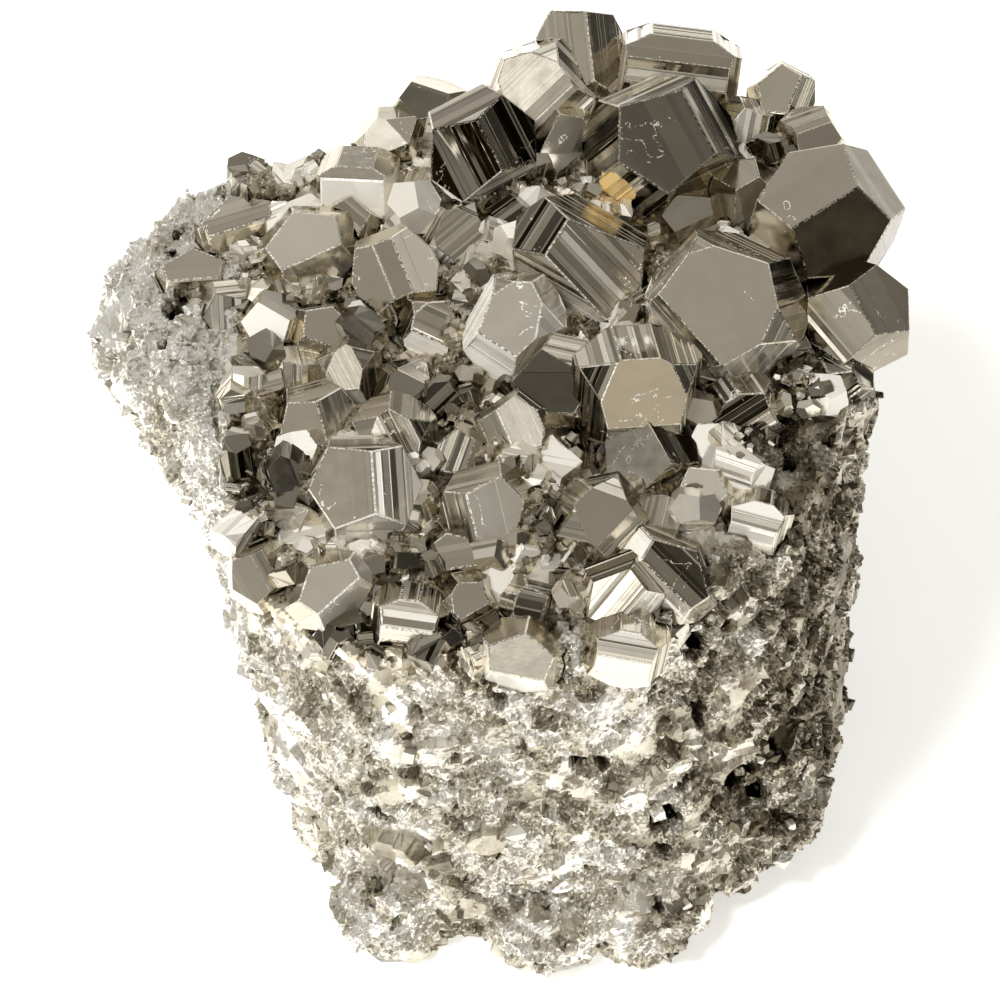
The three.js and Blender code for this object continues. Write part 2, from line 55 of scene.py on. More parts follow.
LOG = logging.getLogger("pyrite")
MM = 0.001
BODY = "root"
BLOCK_NODE = "granular_pyrite_block"
# Whatever lies lower than this is the underside that the specimen rests on.
UNDERSIDE_MM = 0.3
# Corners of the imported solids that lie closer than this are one.
WELD_MM = 0.002

# The side that the specimen shows: level with +Y behind it, and this far above the horizon.
DISPLAY_ELEVATION = math.radians(48)
DISPLAY = Vector((0, -math.cos(DISPLAY_ELEVATION), math.sin(DISPLAY_ELEVATION)))
DISPLAY_UP = Vector((0, math.sin(DISPLAY_ELEVATION), math.cos(DISPLAY_ELEVATION)))

# The one crystal with a painted warm reflection on it, and the middle of that painted reflection.
PAINTED_REFLECTION_NODE = "crown_crystal"
PAINTED_REFLECTION_AT_MM = (12.5, 17.3, 54.4)


def linear(code: str) -> tuple[float, float, float, float]:
    """Turns an sRGB hex colour to linear light.

    Args:
        code: the colour as #RRGGBB.

    Returns:
        Linear red, green, blue and an alpha of 1.
    """
    parts = [int(code[i : i + 2], 16) / 255 for i in (1, 3, 5)]
    red, green, blue = [p / 12.92 if p <= 0.04045 else ((p + 0.055) / 1.055) ** 2.4 for p in parts]
    return red, green, blue, 1.0


def add_node(tree: Tree, kind: str, inputs: dict | None = None, **settings: object) -> bpy.types.Node:
    """Adds a node with its settings and its inputs.

    Args:
        tree: the node tree to add to.
        kind: the node's type name.
        inputs: input name or index to the socket that feeds it or to its value.
        settings: property name to value.

    Returns:
        The new node.
    """
    node = tree.nodes.new(kind)
    for name, value in settings.items():
        setattr(node, name, value)
    for key, given in (inputs or {}).items():
        if isinstance(given, Socket):
            tree.links.new(given, node.inputs[key])
        else:
            node.inputs[key].default_value = given
    return node


def millimetre_coordinates(tree: Tree) -> Socket:
    """Gives the object coordinates in millimetres.

    Args:
        tree: the material's tree.

    Returns:
        The scaled vector socket.
    """
    place = add_node(tree, "ShaderNodeTexCoord")
    scaled = add_node(
        tree, "ShaderNodeMapping", {"Vector": place.outputs["Object"], "Scale": (1 / MM,) * 3}
    )
    return scaled.outputs["Vector"]


def merged_copy(node: str) -> Mesh:
    """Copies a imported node's loose triangles into one welded mesh.

    Args:
        node: the node's name.

    Returns:
        The welded mesh, for the caller to free.
    """
    mesh = bmesh.new()
    mesh.from_mesh(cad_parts[node].data)
    bmesh.ops.remove_doubles(mesh, verts=mesh.verts, dist=WELD_MM * MM)
    return mesh


def piece_from(mesh: Mesh, name: str) -> Piece:
    """Makes a flat-shaded object of a mesh and frees the mesh.

    Args:
        mesh: the finished mesh.
        name: the piece's name.

    Returns:
        The new object, linked to the scene.
    """
    data = bpy.data.meshes.new(name)
    mesh.to_mesh(data)
    mesh.free()
    piece = bpy.data.objects.new(name, data)
    bpy.context.scene.collection.objects.link(piece)
    return piece


def new_tree(name: str, sockets: dict[str, str]) -> tuple[Tree, bpy.types.bpy_prop_collection]:
    """Starts a geometry node tree with named inputs.

    Args:
        name: the tree's name.
        sockets: input name to the kind of its socket.

    Returns:
        The tree and the sockets that its inputs come from.
    """
    tree = bpy.data.node_groups.new(name, "GeometryNodeTree")
    for label, kind in {"Geometry": "Geometry", **sockets}.items():
        tree.interface.new_socket(name=label, in_out="INPUT", socket_type=f"NodeSocket{kind}")
    tree.interface.new_socket(name="Geometry", in_out="OUTPUT", socket_type="NodeSocketGeometry")
    return tree, add_node(tree, "NodeGroupInput").outputs


def end_tree(tree: Tree, geometry: Socket, finish: bpy.types.Material) -> None:
    """Ends a tree: makes its instances real, gives them their material and puts them out.

    Args:
        tree: the geometry node tree.
        geometry: the shape so far.
        finish: the material.
    """
    real = add_node(tree, "GeometryNodeRealizeInstances", {0: geometry})
    finished = add_node(tree, "GeometryNodeSetMaterial", {"Geometry": real.outputs[0], "Material": finish})
    add_node(tree, "NodeGroupOutput", {"Geometry": finished.outputs[0]})


def run_tree(carrier: Piece, tree: Tree, sizes: dict, name: str) -> Piece:
    """Runs a geometry node tree on a carrier and makes the result a plain piece.

    Args:
        carrier: the object to run it on; its modifiers are taken off afterwards.
        tree: the geometry node tree.
        sizes: input name to value.
        name: the piece's name.

    Returns:
        The piece, linked to the scene.
    """
    modifier = carrier.modifiers.new(tree.name, "NODES")
    modifier.node_group = tree
    for item in tree.interface.items_tree:
        if item.name in sizes:
            modifier[item.identifier] = sizes[item.name]
    carrier.data.update()
    graph = bpy.context.evaluated_depsgraph_get()
    data = bpy.data.meshes.new_from_object(
        carrier.evaluated_get(graph), preserve_all_data_layers=True, depsgraph=graph
    )
    carrier.modifiers.clear()
    data.name = name
    piece = bpy.data.objects.new(name, data)
    bpy.context.scene.collection.objects.link(piece)
    return piece


# ---- Finishes ----------------------------------------------------------------------------------


def sparkling(
    tree: Tree, where: Socket, normal: Socket, crumb_mm: float, tilt: float
) -> tuple[Socket, Socket]:
    """Tilts the surface crumb by crumb, so that each tiny facet catches its own light.

    Args:
        tree: the material's tree.
        where: the place in millimetres.
        normal: the normal to tilt.
        crumb_mm: the size of a crumb.
        tilt: how far a crumb leans, as a slope.

    Returns:
        The tilted normal and a random colour for each crumb.
    """
    crumbs = add_node(tree, "ShaderNodeTexVoronoi", {"Vector": where, "Scale": 1 / crumb_mm})
    lean = add_node(
        tree,
        "ShaderNodeVectorMath",
        {0: crumbs.outputs["Color"], 1: (2 * tilt,) * 3, 2: (-tilt,) * 3},
        operation="MULTIPLY_ADD",
    )
    leant = add_node(tree, "ShaderNodeVectorMath", {0: normal, 1: lean.outputs[0]}, operation="ADD")
    unit = add_node(tree, "ShaderNodeVectorMath", {0: leant.outputs[0]}, operation="NORMALIZE")
    return unit.outputs[0], crumbs.outputs["Color"]


# Pyrite is a brassy metal, grown here in flat faces: near mirrors, each with its own sharp reflection,
# split into streaks by the grooves, under a film picked side by side: browner and darker for tarnish
# and painted dark reflections, white for a painted white sheen.
@dataclass(frozen=True)
class GrownPyrite:
    """Pyrite crystal faces as they grew: bright metal, finely grooved, under films of tarnish and painted
    reflection and shade.
    """

    name: str = "pyrite grown faces"
    # The film's colours: pale for a painted white sheen, clean metal, and near black for tarnish and
    # painted dark reflections.
    pale: str = "#FAF6EC"
    metal: str = "#DED6C3"
    dark_reflection_and_tarnish: str = "#241E11"
    cloud: float = 0.16
    cloud_mm: float = 4.0
    smooth: float = 0.10
    worn: float = 0.22
    pale_metallic: float = 0.15
    wear_mm: float = 1.43
    # Real grooves are finer still; these are as fine as can be seen.
    groove_mm: float = 0.22
    groove_run_mm: float = 25.0
    groove_depth_mm: float = 0.020
    wave_mm: float = 1.667
    wave_share: float = 0.35
    # The fine wandering lines: their size and width, the patches that have them and those that
    # stay bare, and the dashes that they break into.
    etch_mm: float = 3.2
    etch_width: float = 0.013
    etch_patch_mm: float = 6.25
    etch_bare: float = 0.61
    dash_mm: float = 0.2381
    dash_gap: float = 0.50
    etch_dulls: float = 0.2
    crumb_mm: float = 0.16
    crumb_tilt: float = 0.55
    # A painted reflection: a warm yellow patch, dull and hardly metallic, that stands for a bright warm
    # reflection on one face. Its colour, middle, reach, ragged and soft edge, and how much it dulls the
    # metal.
    painted_reflection_colour: str = "#FFDC96"
    painted_reflection_at_mm: tuple[float, float, float] | None = None
    painted_reflection_radius_mm: float = 2.0
    painted_reflection_ragged_mm: float = 1.6
    painted_reflection_edge_mm: float = 0.2
    painted_reflection_dulls: float = 0.85

    def material(self) -> bpy.types.Material:
        """Builds the material.

        Returns:
            The new material.
        """
        made = bpy.data.materials.new(self.name)
        made.use_nodes = True
        tree = made.node_tree
        shader = tree.nodes["Principled BSDF"]
        where = millimetre_coordinates(tree)
        etched = self._etched(tree, where)
        plain = self._relief(tree, where)
        tilted, _ = sparkling(tree, where, plain, self.crumb_mm, self.crumb_tilt)
        normal = add_node(tree, "ShaderNodeMix", {0: etched, 4: plain, 5: tilted}, data_type="VECTOR")
        film = self._film(tree, where, etched)
        metallic = add_node(
            tree,
            "ShaderNodeMapRange",
            {"Value": film, "From Min": -1.0, "From Max": 0.0, "To Min": self.pale_metallic},
        )
        colour, metallic_socket = self._painted_reflection(
            tree, where, self._colour(tree, film), metallic.outputs["Result"]
        )
        tree.links.new(colour, shader.inputs["Base Color"])
        tree.links.new(metallic_socket, shader.inputs["Metallic"])
        tree.links.new(self._roughness(tree, where, etched), shader.inputs["Roughness"])
        tree.links.new(normal.outputs[1], shader.inputs["Normal"])
        return made

    def _film(self, tree: Tree, where: Socket, etched: Socket) -> Socket:
        """Adds up the film: the face's own, which is painted reflection and shade picked side by side and
        partly tarnish, its streaks, thin clouds, and none where it is etched.

        Args:
            tree: the material's tree.
            where: the place in millimetres.
            etched: 1 on an etched edge or line.

        Returns:
            The film, from -1 for pale to 1 for dark.
        """
        # Each face's own film, picked side by side: partly tarnish, partly painted reflection and painted
        # shade.
        own = add_node(tree, "ShaderNodeAttribute", attribute_name=GrownCrystal.FILM)
        streak = add_node(tree, "ShaderNodeAttribute", attribute_name=GrainShapes.STREAK)
        cloud = add_node(
            tree,
            "ShaderNodeTexNoise",
            {"Vector": where, "Scale": 1 / self.cloud_mm, "Detail": 4.0, "Roughness": 0.6},
        )
        film = own.outputs["Fac"]
        for share, part in (
            (1.0, streak.outputs["Fac"]),
            (self.cloud, cloud.outputs["Fac"]),
            (-1.0, etched),
        ):
            film = add_node(
                tree, "ShaderNodeMath", {0: part, 1: share, 2: film}, operation="MULTIPLY_ADD"
            ).outputs["Value"]
        return film

    def _colour(self, tree: Tree, film: Socket) -> Socket:
        """Runs from pale through clean metal to near black, for tarnish and painted dark reflections, by
        the film.

        Args:
            tree: the material's tree.
            film: the film, from -1 for pale to 1 for dark.

        Returns:
            The colour socket.
        """
        share = add_node(tree, "ShaderNodeMapRange", {"Value": film, "From Min": -1.0, "From Max": 1.0})
        ramp = add_node(tree, "ShaderNodeValToRGB", {"Fac": share.outputs["Result"]})
        stops = ramp.color_ramp.elements
        stops[0].color, stops[1].color = linear(self.pale), linear(self.dark_reflection_and_tarnish)
        stops.new(0.5).color = linear(self.metal)
        return ramp.outputs["Color"]

    def _painted_reflection(
        self, tree: Tree, where: Socket, colour: Socket, metallic: Socket
    ) -> tuple[Socket, Socket]:
        """Paints a warm yellow reflection, dull and hardly metallic, over a face, if there is one.

        Args:
            tree: the material's tree.
            where: the place in millimetres.
            colour: the colour beneath.
            metallic: how metallic the face beneath is.

        Returns:
            The colour and the metallic share.
        """
        if self.painted_reflection_at_mm is None:
            return colour, metallic
        ragged = add_node(tree, "ShaderNodeTexNoise", {"Vector": where, "Scale": 0.9, "Detail": 4.0})
        away = add_node(
            tree, "ShaderNodeVectorMath", {0: where, 1: self.painted_reflection_at_mm}, operation="DISTANCE"
        )
        edge = add_node(
            tree,
            "ShaderNodeMath",
            {0: ragged.outputs["Fac"], 1: self.painted_reflection_ragged_mm, 2: away.outputs["Value"]},
            operation="MULTIPLY_ADD",
        )
        # The ragged noise adds about half of its reach all round.
        outer = self.painted_reflection_radius_mm + self.painted_reflection_ragged_mm / 2 + self.painted_reflection_edge_mm / 2
        inside = add_node(
            tree,
            "ShaderNodeMapRange",
            {"Value": edge.outputs["Value"], "From Min": outer, "From Max": outer - self.painted_reflection_edge_mm},
        )
        with_painted_reflection = add_node(
            tree,
            "ShaderNodeMix",
            {0: inside.outputs["Result"], 6: colour, 7: linear(self.painted_reflection_colour)},
            data_type="RGBA",
        )
        duller = add_node(
            tree,
            "ShaderNodeMath",
            {0: inside.outputs["Result"], 1: -self.painted_reflection_dulls, 2: metallic},
            operation="MULTIPLY_ADD",
            use_clamp=True,
        )
        return with_painted_reflection.outputs[2], duller.outputs["Value"]

    def _etched(self, tree: Tree, where: Socket) -> Socket:
        """Finds the etched places: the worn edges and a few fine wandering lines.

        Args:
            tree: the material's tree.
            where: the place in millimetres.

        Returns:
            A socket that is 1 where the surface is etched.
        """
        wander = add_node(
            tree,
            "ShaderNodeTexNoise",
            {"Vector": where, "Scale": 1 / self.etch_mm, "Detail": 2.5, "Distortion": 0.8},
        )
        line = add_node(
            tree,
            "ShaderNodeMath",
            {0: wander.outputs["Fac"], 1: 0.5, 2: self.etch_width},
            operation="COMPARE",
        )
        patches = add_node(
            tree, "ShaderNodeTexNoise", {"Vector": where, "Scale": 1 / self.etch_patch_mm, "Detail": 3.0}
        )
        here = add_node(
            tree,
            "ShaderNodeMath",
            {0: patches.outputs["Fac"], 1: self.etch_bare},
            operation="GREATER_THAN",
        )
        broken = add_node(
            tree, "ShaderNodeTexNoise", {"Vector": where, "Scale": 1 / self.dash_mm, "Detail": 2.0}
        )
        dashes = add_node(
            tree, "ShaderNodeMath", {0: broken.outputs["Fac"], 1: self.dash_gap}, operation="GREATER_THAN"
        )
        lines = add_node(
            tree,
            "ShaderNodeMath",
            {0: line.outputs["Value"], 1: here.outputs["Value"]},
            operation="MULTIPLY",
        )
        edges = add_node(tree, "ShaderNodeAttribute", attribute_name=GrownCrystal.EDGE)
        either = add_node(
            tree,
            "ShaderNodeMath",
            {0: lines.outputs["Value"], 1: edges.outputs["Fac"]},
            operation="MAXIMUM",
        )
        dashed = add_node(
            tree,
            "ShaderNodeMath",
            {0: either.outputs["Value"], 1: dashes.outputs["Value"]},
            operation="MULTIPLY",
        )
        return dashed.outputs["Value"]

    def _roughness(self, tree: Tree, where: Socket, etched: Socket) -> Socket:
        """Varies the gloss from mirror-like to slightly worn, dull where it is etched.

        Args:
            tree: the material's tree.
            where: the place in millimetres.
            etched: 1 where the surface is etched.

        Returns:
            The roughness socket.
        """
        wear = add_node(
            tree,
            "ShaderNodeTexNoise",
            {"Vector": where, "Scale": 1 / self.wear_mm, "Detail": 6.0, "Roughness": 0.65},
        )
        gloss = add_node(
            tree,
            "ShaderNodeMapRange",
            {
                "Value": wear.outputs["Fac"],
                "From Min": 0.35,
                "From Max": 0.70,
                "To Min": self.smooth,
                "To Max": self.worn,
            },
        )
        dulled = add_node(
            tree,
            "ShaderNodeMath",
            {0: etched, 1: self.etch_dulls, 2: gloss.outputs["Result"]},
            operation="MULTIPLY_ADD",
            use_clamp=True,
        )
        return dulled.outputs["Value"]

    def _relief(self, tree: Tree, where: Socket) -> Socket:
        """Adds the finest grooves along each face and a very slight waviness.

        Args:
            tree: the material's tree.
            where: the place in millimetres.

        Returns:
            The normal socket.
        """
        along = add_node(tree, "ShaderNodeUVMap", uv_map=GrownCrystal.GROWTH_MAP)
        streak = add_node(
            tree,
            "ShaderNodeMapping",
            {
                "Vector": along.outputs["UV"],
                "Scale": (1 / (self.groove_run_mm * MM), 1 / (self.groove_mm * MM), 1.0),
            },
        )
        grooves = add_node(
            tree,
            "ShaderNodeTexNoise",
            {"Vector": streak.outputs["Vector"], "Scale": 1.0, "Detail": 2.0, "Roughness": 0.6},
        )
        amount = add_node(tree, "ShaderNodeAttribute", attribute_name=GrownCrystal.GROOVING)
        grooved = add_node(
            tree,
            "ShaderNodeMath",
            {0: grooves.outputs["Fac"], 1: amount.outputs["Fac"]},
            operation="MULTIPLY",
        )
        waves = add_node(
            tree,
            "ShaderNodeTexNoise",
            {"Vector": where, "Scale": 1 / self.wave_mm, "Detail": 4.0, "Roughness": 0.5},
        )
        height = add_node(
            tree,
            "ShaderNodeMath",
            {0: waves.outputs["Fac"], 1: self.wave_share, 2: grooved.outputs["Value"]},
            operation="MULTIPLY_ADD",
        )
        bump = add_node(
            tree,
            "ShaderNodeBump",
            {"Height": height.outputs["Value"], "Strength": 1.0, "Distance": self.groove_depth_mm * MM},
        )
        return bump.outputs["Normal"]


# Broken pyrite has no flat faces: the same metal in crumbs that lean every way, so that it looks
# matt and grey-beige from afar and glitters close by.
@dataclass(frozen=True)
class BrokenPyrite:
    """Massive granular pyrite as it broke: bright grains, each of its own tone, that sparkle; painted
    shade darkens its cavities and right side, painted light brightens its left wing.
    """

    name: str = "pyrite broken grain"
    pale: str = "#FBF8F0"
    mid: str = "#CFC8B6"
    dark: str = "#766D5A"
    deep: str = "#1C1810"
    bright: float = 0.22
    dull: float = 0.45
    metallic: float = 0.82
    # Where each tone lies on the way from the darkest crumb, darkened by painted shade in cavities and on
    # one side, to the palest.
    deep_at: float = 0.0
    dark_from: float = 0.14
    dark_to: float = 0.36
    mid_at: float = 0.62
    pale_at: float = 0.90
    # How much a grain's own tone counts beside the broad patches, and the size of those.
    grain_share: float = 0.45
    broad_mm: float = 6.667
    crumb_mm: float = 0.30
    crumb_tilt: float = 0.60
    # Painted shade on the right side and painted light on the left wing: from where along X to where, how
    # much.
    sides: tuple[tuple[float, float, float], ...] = ((13.0, 31.0, -0.31), (-16.0, -28.0, 0.18))

    def material(self) -> bpy.types.Material:
        """Builds the material.

        Returns:
            The new material.
        """
        made = bpy.data.materials.new(self.name)
        made.use_nodes = True
        tree = made.node_tree
        shader = tree.nodes["Principled BSDF"]
        shader.inputs["Metallic"].default_value = self.metallic
        where = millimetre_coordinates(tree)
        # Each grain's random tone, darkened by the painted shade of the cavities.
        tone = add_node(tree, "ShaderNodeAttribute", attribute_name=GrainLayer.TONE_AND_SHADE)
        broad = add_node(
            tree, "ShaderNodeTexNoise", {"Vector": where, "Scale": 1 / self.broad_mm, "Detail": 5.0}
        )
        share = add_node(
            tree,
            "ShaderNodeMath",
            {0: tone.outputs["Fac"], 1: self.grain_share, 2: broad.outputs["Fac"]},
            operation="MULTIPLY_ADD",
        )
        parts = add_node(tree, "ShaderNodeSeparateXYZ", {0: where})
        toned = share.outputs["Value"]
        # Painted shade on the right and painted light on the left wing, along X.
        for start, end, amount in self.sides:
            side_light = add_node(
                tree,
                "ShaderNodeMapRange",
                {"Value": parts.outputs["X"], "From Min": start, "From Max": end, "To Max": amount},
            )
            toned = add_node(
                tree, "ShaderNodeMath", {0: toned, 1: side_light.outputs["Result"]}, operation="ADD"
            ).outputs["Value"]
        ramp = add_node(tree, "ShaderNodeValToRGB", {"Fac": toned})
        stops = ramp.color_ramp.elements
        stops[0].position, stops[0].color = self.deep_at, linear(self.deep)
        stops[1].position, stops[1].color = self.pale_at, linear(self.pale)
        stops.new(self.dark_from).color = linear(self.dark)
        stops.new(self.dark_to).color = linear(self.dark)
        stops.new(self.mid_at).color = linear(self.mid)
        surface = add_node(tree, "ShaderNodeNewGeometry")
        tilted, crumb = sparkling(tree, where, surface.outputs["Normal"], self.crumb_mm, self.crumb_tilt)
        crumbly = add_node(tree, "ShaderNodeAttribute", attribute_name=GrainLayer.CRUMBLY)
        normal = add_node(
            tree,
            "ShaderNodeMix",
            {0: crumbly.outputs["Fac"], 4: surface.outputs["Normal"], 5: tilted},
            data_type="VECTOR",
        )
        gloss = add_node(
            tree, "ShaderNodeMapRange", {"Value": crumb, "To Min": self.bright, "To Max": self.dull}
        )
        tree.links.new(ramp.outputs["Color"], shader.inputs["Base Color"])
        tree.links.new(gloss.outputs["Result"], shader.inputs["Roughness"])
        tree.links.new(normal.outputs[1], shader.inputs["Normal"])
        return made


# The crumbs between the crystals: the same grain, browner, and painted darker as painted shade between the
# crystals.
SHADED_GAP_PYRITE = BrokenPyrite(
    name="pyrite broken grain in_painted_shade", pale="#E9E0CB", mid="#A99E86", dark="#453D2F", metallic=0.92
)


# ---- Crystals ----------------------------------------------------------------------------------


class Grooving(Enum):
    """How a face grew: its terraces' width, steps and lean, finest grooves and spread of film."""

    SMOOTH = (0.0, 0.0, 0.0, 0.05, 0.0)
    FAINT = (1.3, 0.014, 0.9, 0.30, 0.07)
    FINE = (0.36, 0.030, 2.6, 0.60, 0.20)
    BOLD = (0.44, 0.060, 7.0, 0.80, 0.60)

    @property
    def terrace_mm(self) -> float:
        """The mean width of a terrace."""
        return self.value[0]

    @property
    def step_mm(self) -> float:
        """The height of a step between two terraces."""
        return self.value[1]

    @property
    def lean(self) -> float:
        """The greatest lean of a terrace, as a slope."""
        return math.tan(math.radians(self.value[2]))

    @property
    def fine(self) -> float:
        """The strength of the finest grooving, which is relief in the finish."""
        return self.value[3]

    @property
    def film_spread(self) -> float:
        """How much the film differs from terrace to terrace."""
        return self.value[4]


class Side(Enum):
    """Where a face lies on its crystal, seen from the display side."""

    FRONT = 0
    UP = 1
    RIGHT = 2
    LOW = 3
    LEFT = 4


class FilmAndReflection(Enum):
    """The film on a face, partly tarnish and partly painted light: from a painted white sheen and pale
    through clean metal to black, for tarnish and painted dark reflections.
    """

    FROSTED = -1.0
    PALE = -0.6
    BRIGHT = -0.3
    CLEAN = 0.0
    DULL = 0.25
    BROWN = 0.55
    DARK = 0.70
    BLACK = 0.85


@dataclass(frozen=True)
class Growth:
    """How one crystal grew: the grooving of its front and its sides, and the films on them, which paint
    each side's reflection and shade.
    """

    front: Grooving = Grooving.FAINT
    sides: Grooving = Grooving.FINE
    films: tuple[FilmAndReflection, FilmAndReflection, FilmAndReflection, FilmAndReflection, FilmAndReflection] = (FilmAndReflection.CLEAN,) * 5

    def film(self, side: Side) -> float:
        """The film on one side; the films are listed front, up, right, low, left."""
        return self.films[side.value].value


@dataclass
class Terraces:
    """Cuts a grown face into long terraces with narrow steps between them."""

    rng: random.Random
    unit: float
    riser_mm: float = 0.05
    widths: tuple[float, ...] = (0.3, 0.45, 0.7, 1.0, 1.6, 2.4)
    levels: tuple[float, ...] = (-1.2, -0.6, 0.0, 0.4, 0.8)

    def cut(self, mesh: Mesh, face: Face, style: Grooving, normal: Vector, across: Vector) -> list[Face]:
        """Cuts one face.

        Args:
            mesh: the face's mesh.
            face: the face to cut.
            style: how it grew.
            normal: the face's outward direction.
            across: the direction across the grooves.

        Returns:
            The long facets.
        """
        places = [v.co.dot(across) for v in face.verts]
        parts = [face]
        for at, height in self._levels(style, min(places), max(places)):
            last = parts.pop()
            cut = bmesh.ops.bisect_plane(
                mesh,
                geom=[last, *last.edges, *last.verts],
                dist=1e-6 * self.unit,
                plane_co=across * at,
                plane_no=across,
            )
            halves = [g for g in cut["geom"] if isinstance(g, Face)]
            halves.sort(key=lambda f: f.calc_center_median().dot(across))
            parts += halves
            for item in cut["geom_cut"]:
                if isinstance(item, bmesh.types.BMVert):
                    item.co += normal * height
        return parts

    def _levels(self, style: Grooving, low: float, high: float) -> list[tuple[float, float]]:
        """Plans the terraces across a face.

        Args:
            style: how the face grew.
            low: where the face begins.
            high: where it ends.

        Returns:
            The cuts across the face, each with its height over the face.
        """
        cuts, at = [], low
        riser = self.riser_mm * self.unit
        while True:
            width = style.terrace_mm * self.unit * self.rng.choice(self.widths)
            if at + riser + width > high - riser:
                return cuts
            level = style.step_mm * self.unit * self.rng.choice(self.levels)
            lean = style.lean * width * self.rng.uniform(-0.5, 0.5)
            cuts += [(at + riser, level - lean), (at + riser + width, level + lean)]
            at += riser + width


@dataclass
class GrownCrystal:
    """One crystal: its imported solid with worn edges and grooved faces."""

    GROWTH_MAP = "growth"
    GROOVING = "grooving"
    FILM = "film"
    EDGE = "edge"

    node: str
    growth: Growth = Growth()
    seed: int = 0
    swell_mm: float = 0.15
    edge_mm: float = 0.12
    least_edge_mm: float = 0.96
    edge_wear: float = 0.6
    rim_mm: float = 0.04
    least_face_mm2: float = 1.0
    map_shift_mm: float = 50.0
    large_share: float = 0.5
    least_reach: float = 0.35
    flat_within: float = math.radians(0.6)
    worn_beyond: float = math.radians(12)
    rng: random.Random = field(init=False, repr=False)

    def __post_init__(self) -> None:
        """Seeds the crystal's own random numbers."""
        self.rng = random.Random(self.seed)

    def build(self) -> Piece:
        """Builds the crystal's mesh.

        Returns:
            The piece, not yet dressed.
        """
        mesh = merged_copy(self.node)
        bmesh.ops.dissolve_limit(mesh, angle_limit=self.flat_within, verts=mesh.verts, edges=mesh.edges)
        self._close_gap(mesh)
        map_layer = mesh.loops.layers.uv.new(self.GROWTH_MAP)
        layers = {
            name: mesh.faces.layers.float.new(name) for name in (self.GROOVING, self.FILM, self.EDGE)
        }
        front = self._front(mesh)
        for face in mesh.faces:
            side = self._side(face, front)
            style = self.growth.front if side is Side.FRONT else self.growth.sides
            face[layers[self.GROOVING]] = style.fine
            # The side's film, which paints its reflection and shade, partly as tarnish.
            face[layers[self.FILM]] = self.growth.film(side)
            face.material_index = 1 if side is Side.FRONT else 0
        self._wear_edges(mesh, layers[self.EDGE])
        faces = [f for f in mesh.faces if not f[layers[self.EDGE]]]
        for face in sorted(faces, key=lambda f: -f.calc_area()):
            style = self.growth.front if face.material_index else self.growth.sides
            self._grow_face(mesh, face, style, map_layer)
        for face in mesh.faces:
            face.material_index = 0
        return piece_from(mesh, self.node.replace("_crystal", "_grown_crystal"))

    def _front(self, mesh: Mesh) -> Face:
        """Finds the large face that looks most to the display side.

        Args:
            mesh: the crystal's mesh.

        Returns:
            The front face.
        """
        largest = max(f.calc_area() for f in mesh.faces)
        large = [f for f in mesh.faces if f.calc_area() > self.large_share * largest]
        return max(large, key=lambda f: f.normal.dot(DISPLAY))

    @staticmethod
    def _side(face: Face, front: Face) -> Side:
        """Tells which side of its crystal a face lies on.

        Args:
            face: the face.
            front: the crystal's front face.

        Returns:
            The side.
        """
        if face is front:
            return Side.FRONT
        across = face.normal.x
        upward = face.normal.dot(DISPLAY_UP)
        if abs(across) > abs(upward):
            return Side.RIGHT if across > 0 else Side.LEFT
        return Side.UP if upward > 0 else Side.LOW

    def _close_gap(self, mesh: Mesh) -> None:
        """Moves every face outwards a little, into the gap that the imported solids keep.

        Args:
            mesh: the crystal's mesh.
        """
        moves = {}
        for vertex in mesh.verts:
            normals = [f.normal for f in vertex.link_faces]
            mean = sum(normals, Vector()).normalized()
            reach = min((mean.dot(n) for n in normals), default=1.0)
            moves[vertex] = mean * (self.swell_mm * MM / max(reach, self.least_reach))
        for vertex, move in moves.items():
            vertex.co += move
        mesh.normal_update()

    def _wear_edges(self, mesh: Mesh, edge_layer: bmesh.types.BMLayerItem) -> None:
        """Rounds the outward edges by a narrow bevel.

        Args:
            mesh: the crystal's mesh.
            edge_layer: marks the worn edges for the finish.
        """
        long_enough = self.least_edge_mm * MM
        edges = [
            e
            for e in mesh.edges
            if e.is_manifold
            and e.is_convex
            and e.calc_face_angle(0) > self.worn_beyond
            and e.calc_length() > long_enough
        ]
        worn = bmesh.ops.bevel(
            mesh,
            geom=edges,
            offset=self.edge_mm * MM,
            segments=1,
            profile=0.5,
            affect="EDGES",
            clamp_overlap=True,
        )
        for face in worn["faces"]:
            face[edge_layer] = self.edge_wear
        mesh.normal_update()

    def _grow_face(
        self, mesh: Mesh, face: Face, style: Grooving, map_layer: bmesh.types.BMLayerItem
    ) -> None:
        """Maps one face along its grooves and cuts its terraces.

        Args:
            mesh: the crystal's mesh.
            face: the face to work.
            style: how it grew.
            map_layer: the map that follows the grooves.
        """
        normal = face.normal.copy()
        longest = max(face.edges, key=lambda e: e.calc_length())
        along = (longest.verts[1].co - longest.verts[0].co).normalized()
        across = normal.cross(along).normalized()
        parts = [face]
        if style.terrace_mm and face.calc_area() > self.least_face_mm2 * MM * MM:
            bmesh.ops.inset_individual(
                mesh, faces=[face], thickness=self.rim_mm * MM, use_even_offset=True
            )
            parts = Terraces(self.rng, MM).cut(mesh, face, style, normal, across)
        film_layer = mesh.faces.layers.float[self.FILM]
        shift = Vector((self.rng.random(), self.rng.random())) * self.map_shift_mm * MM
        for part in parts:
            part[film_layer] += style.film_spread * self.rng.uniform(-1, 1)
            for loop in part.loops:
                place = loop.vert.co
                loop[map_layer].uv = (place.dot(along) + shift.x, place.dot(across) + shift.y)
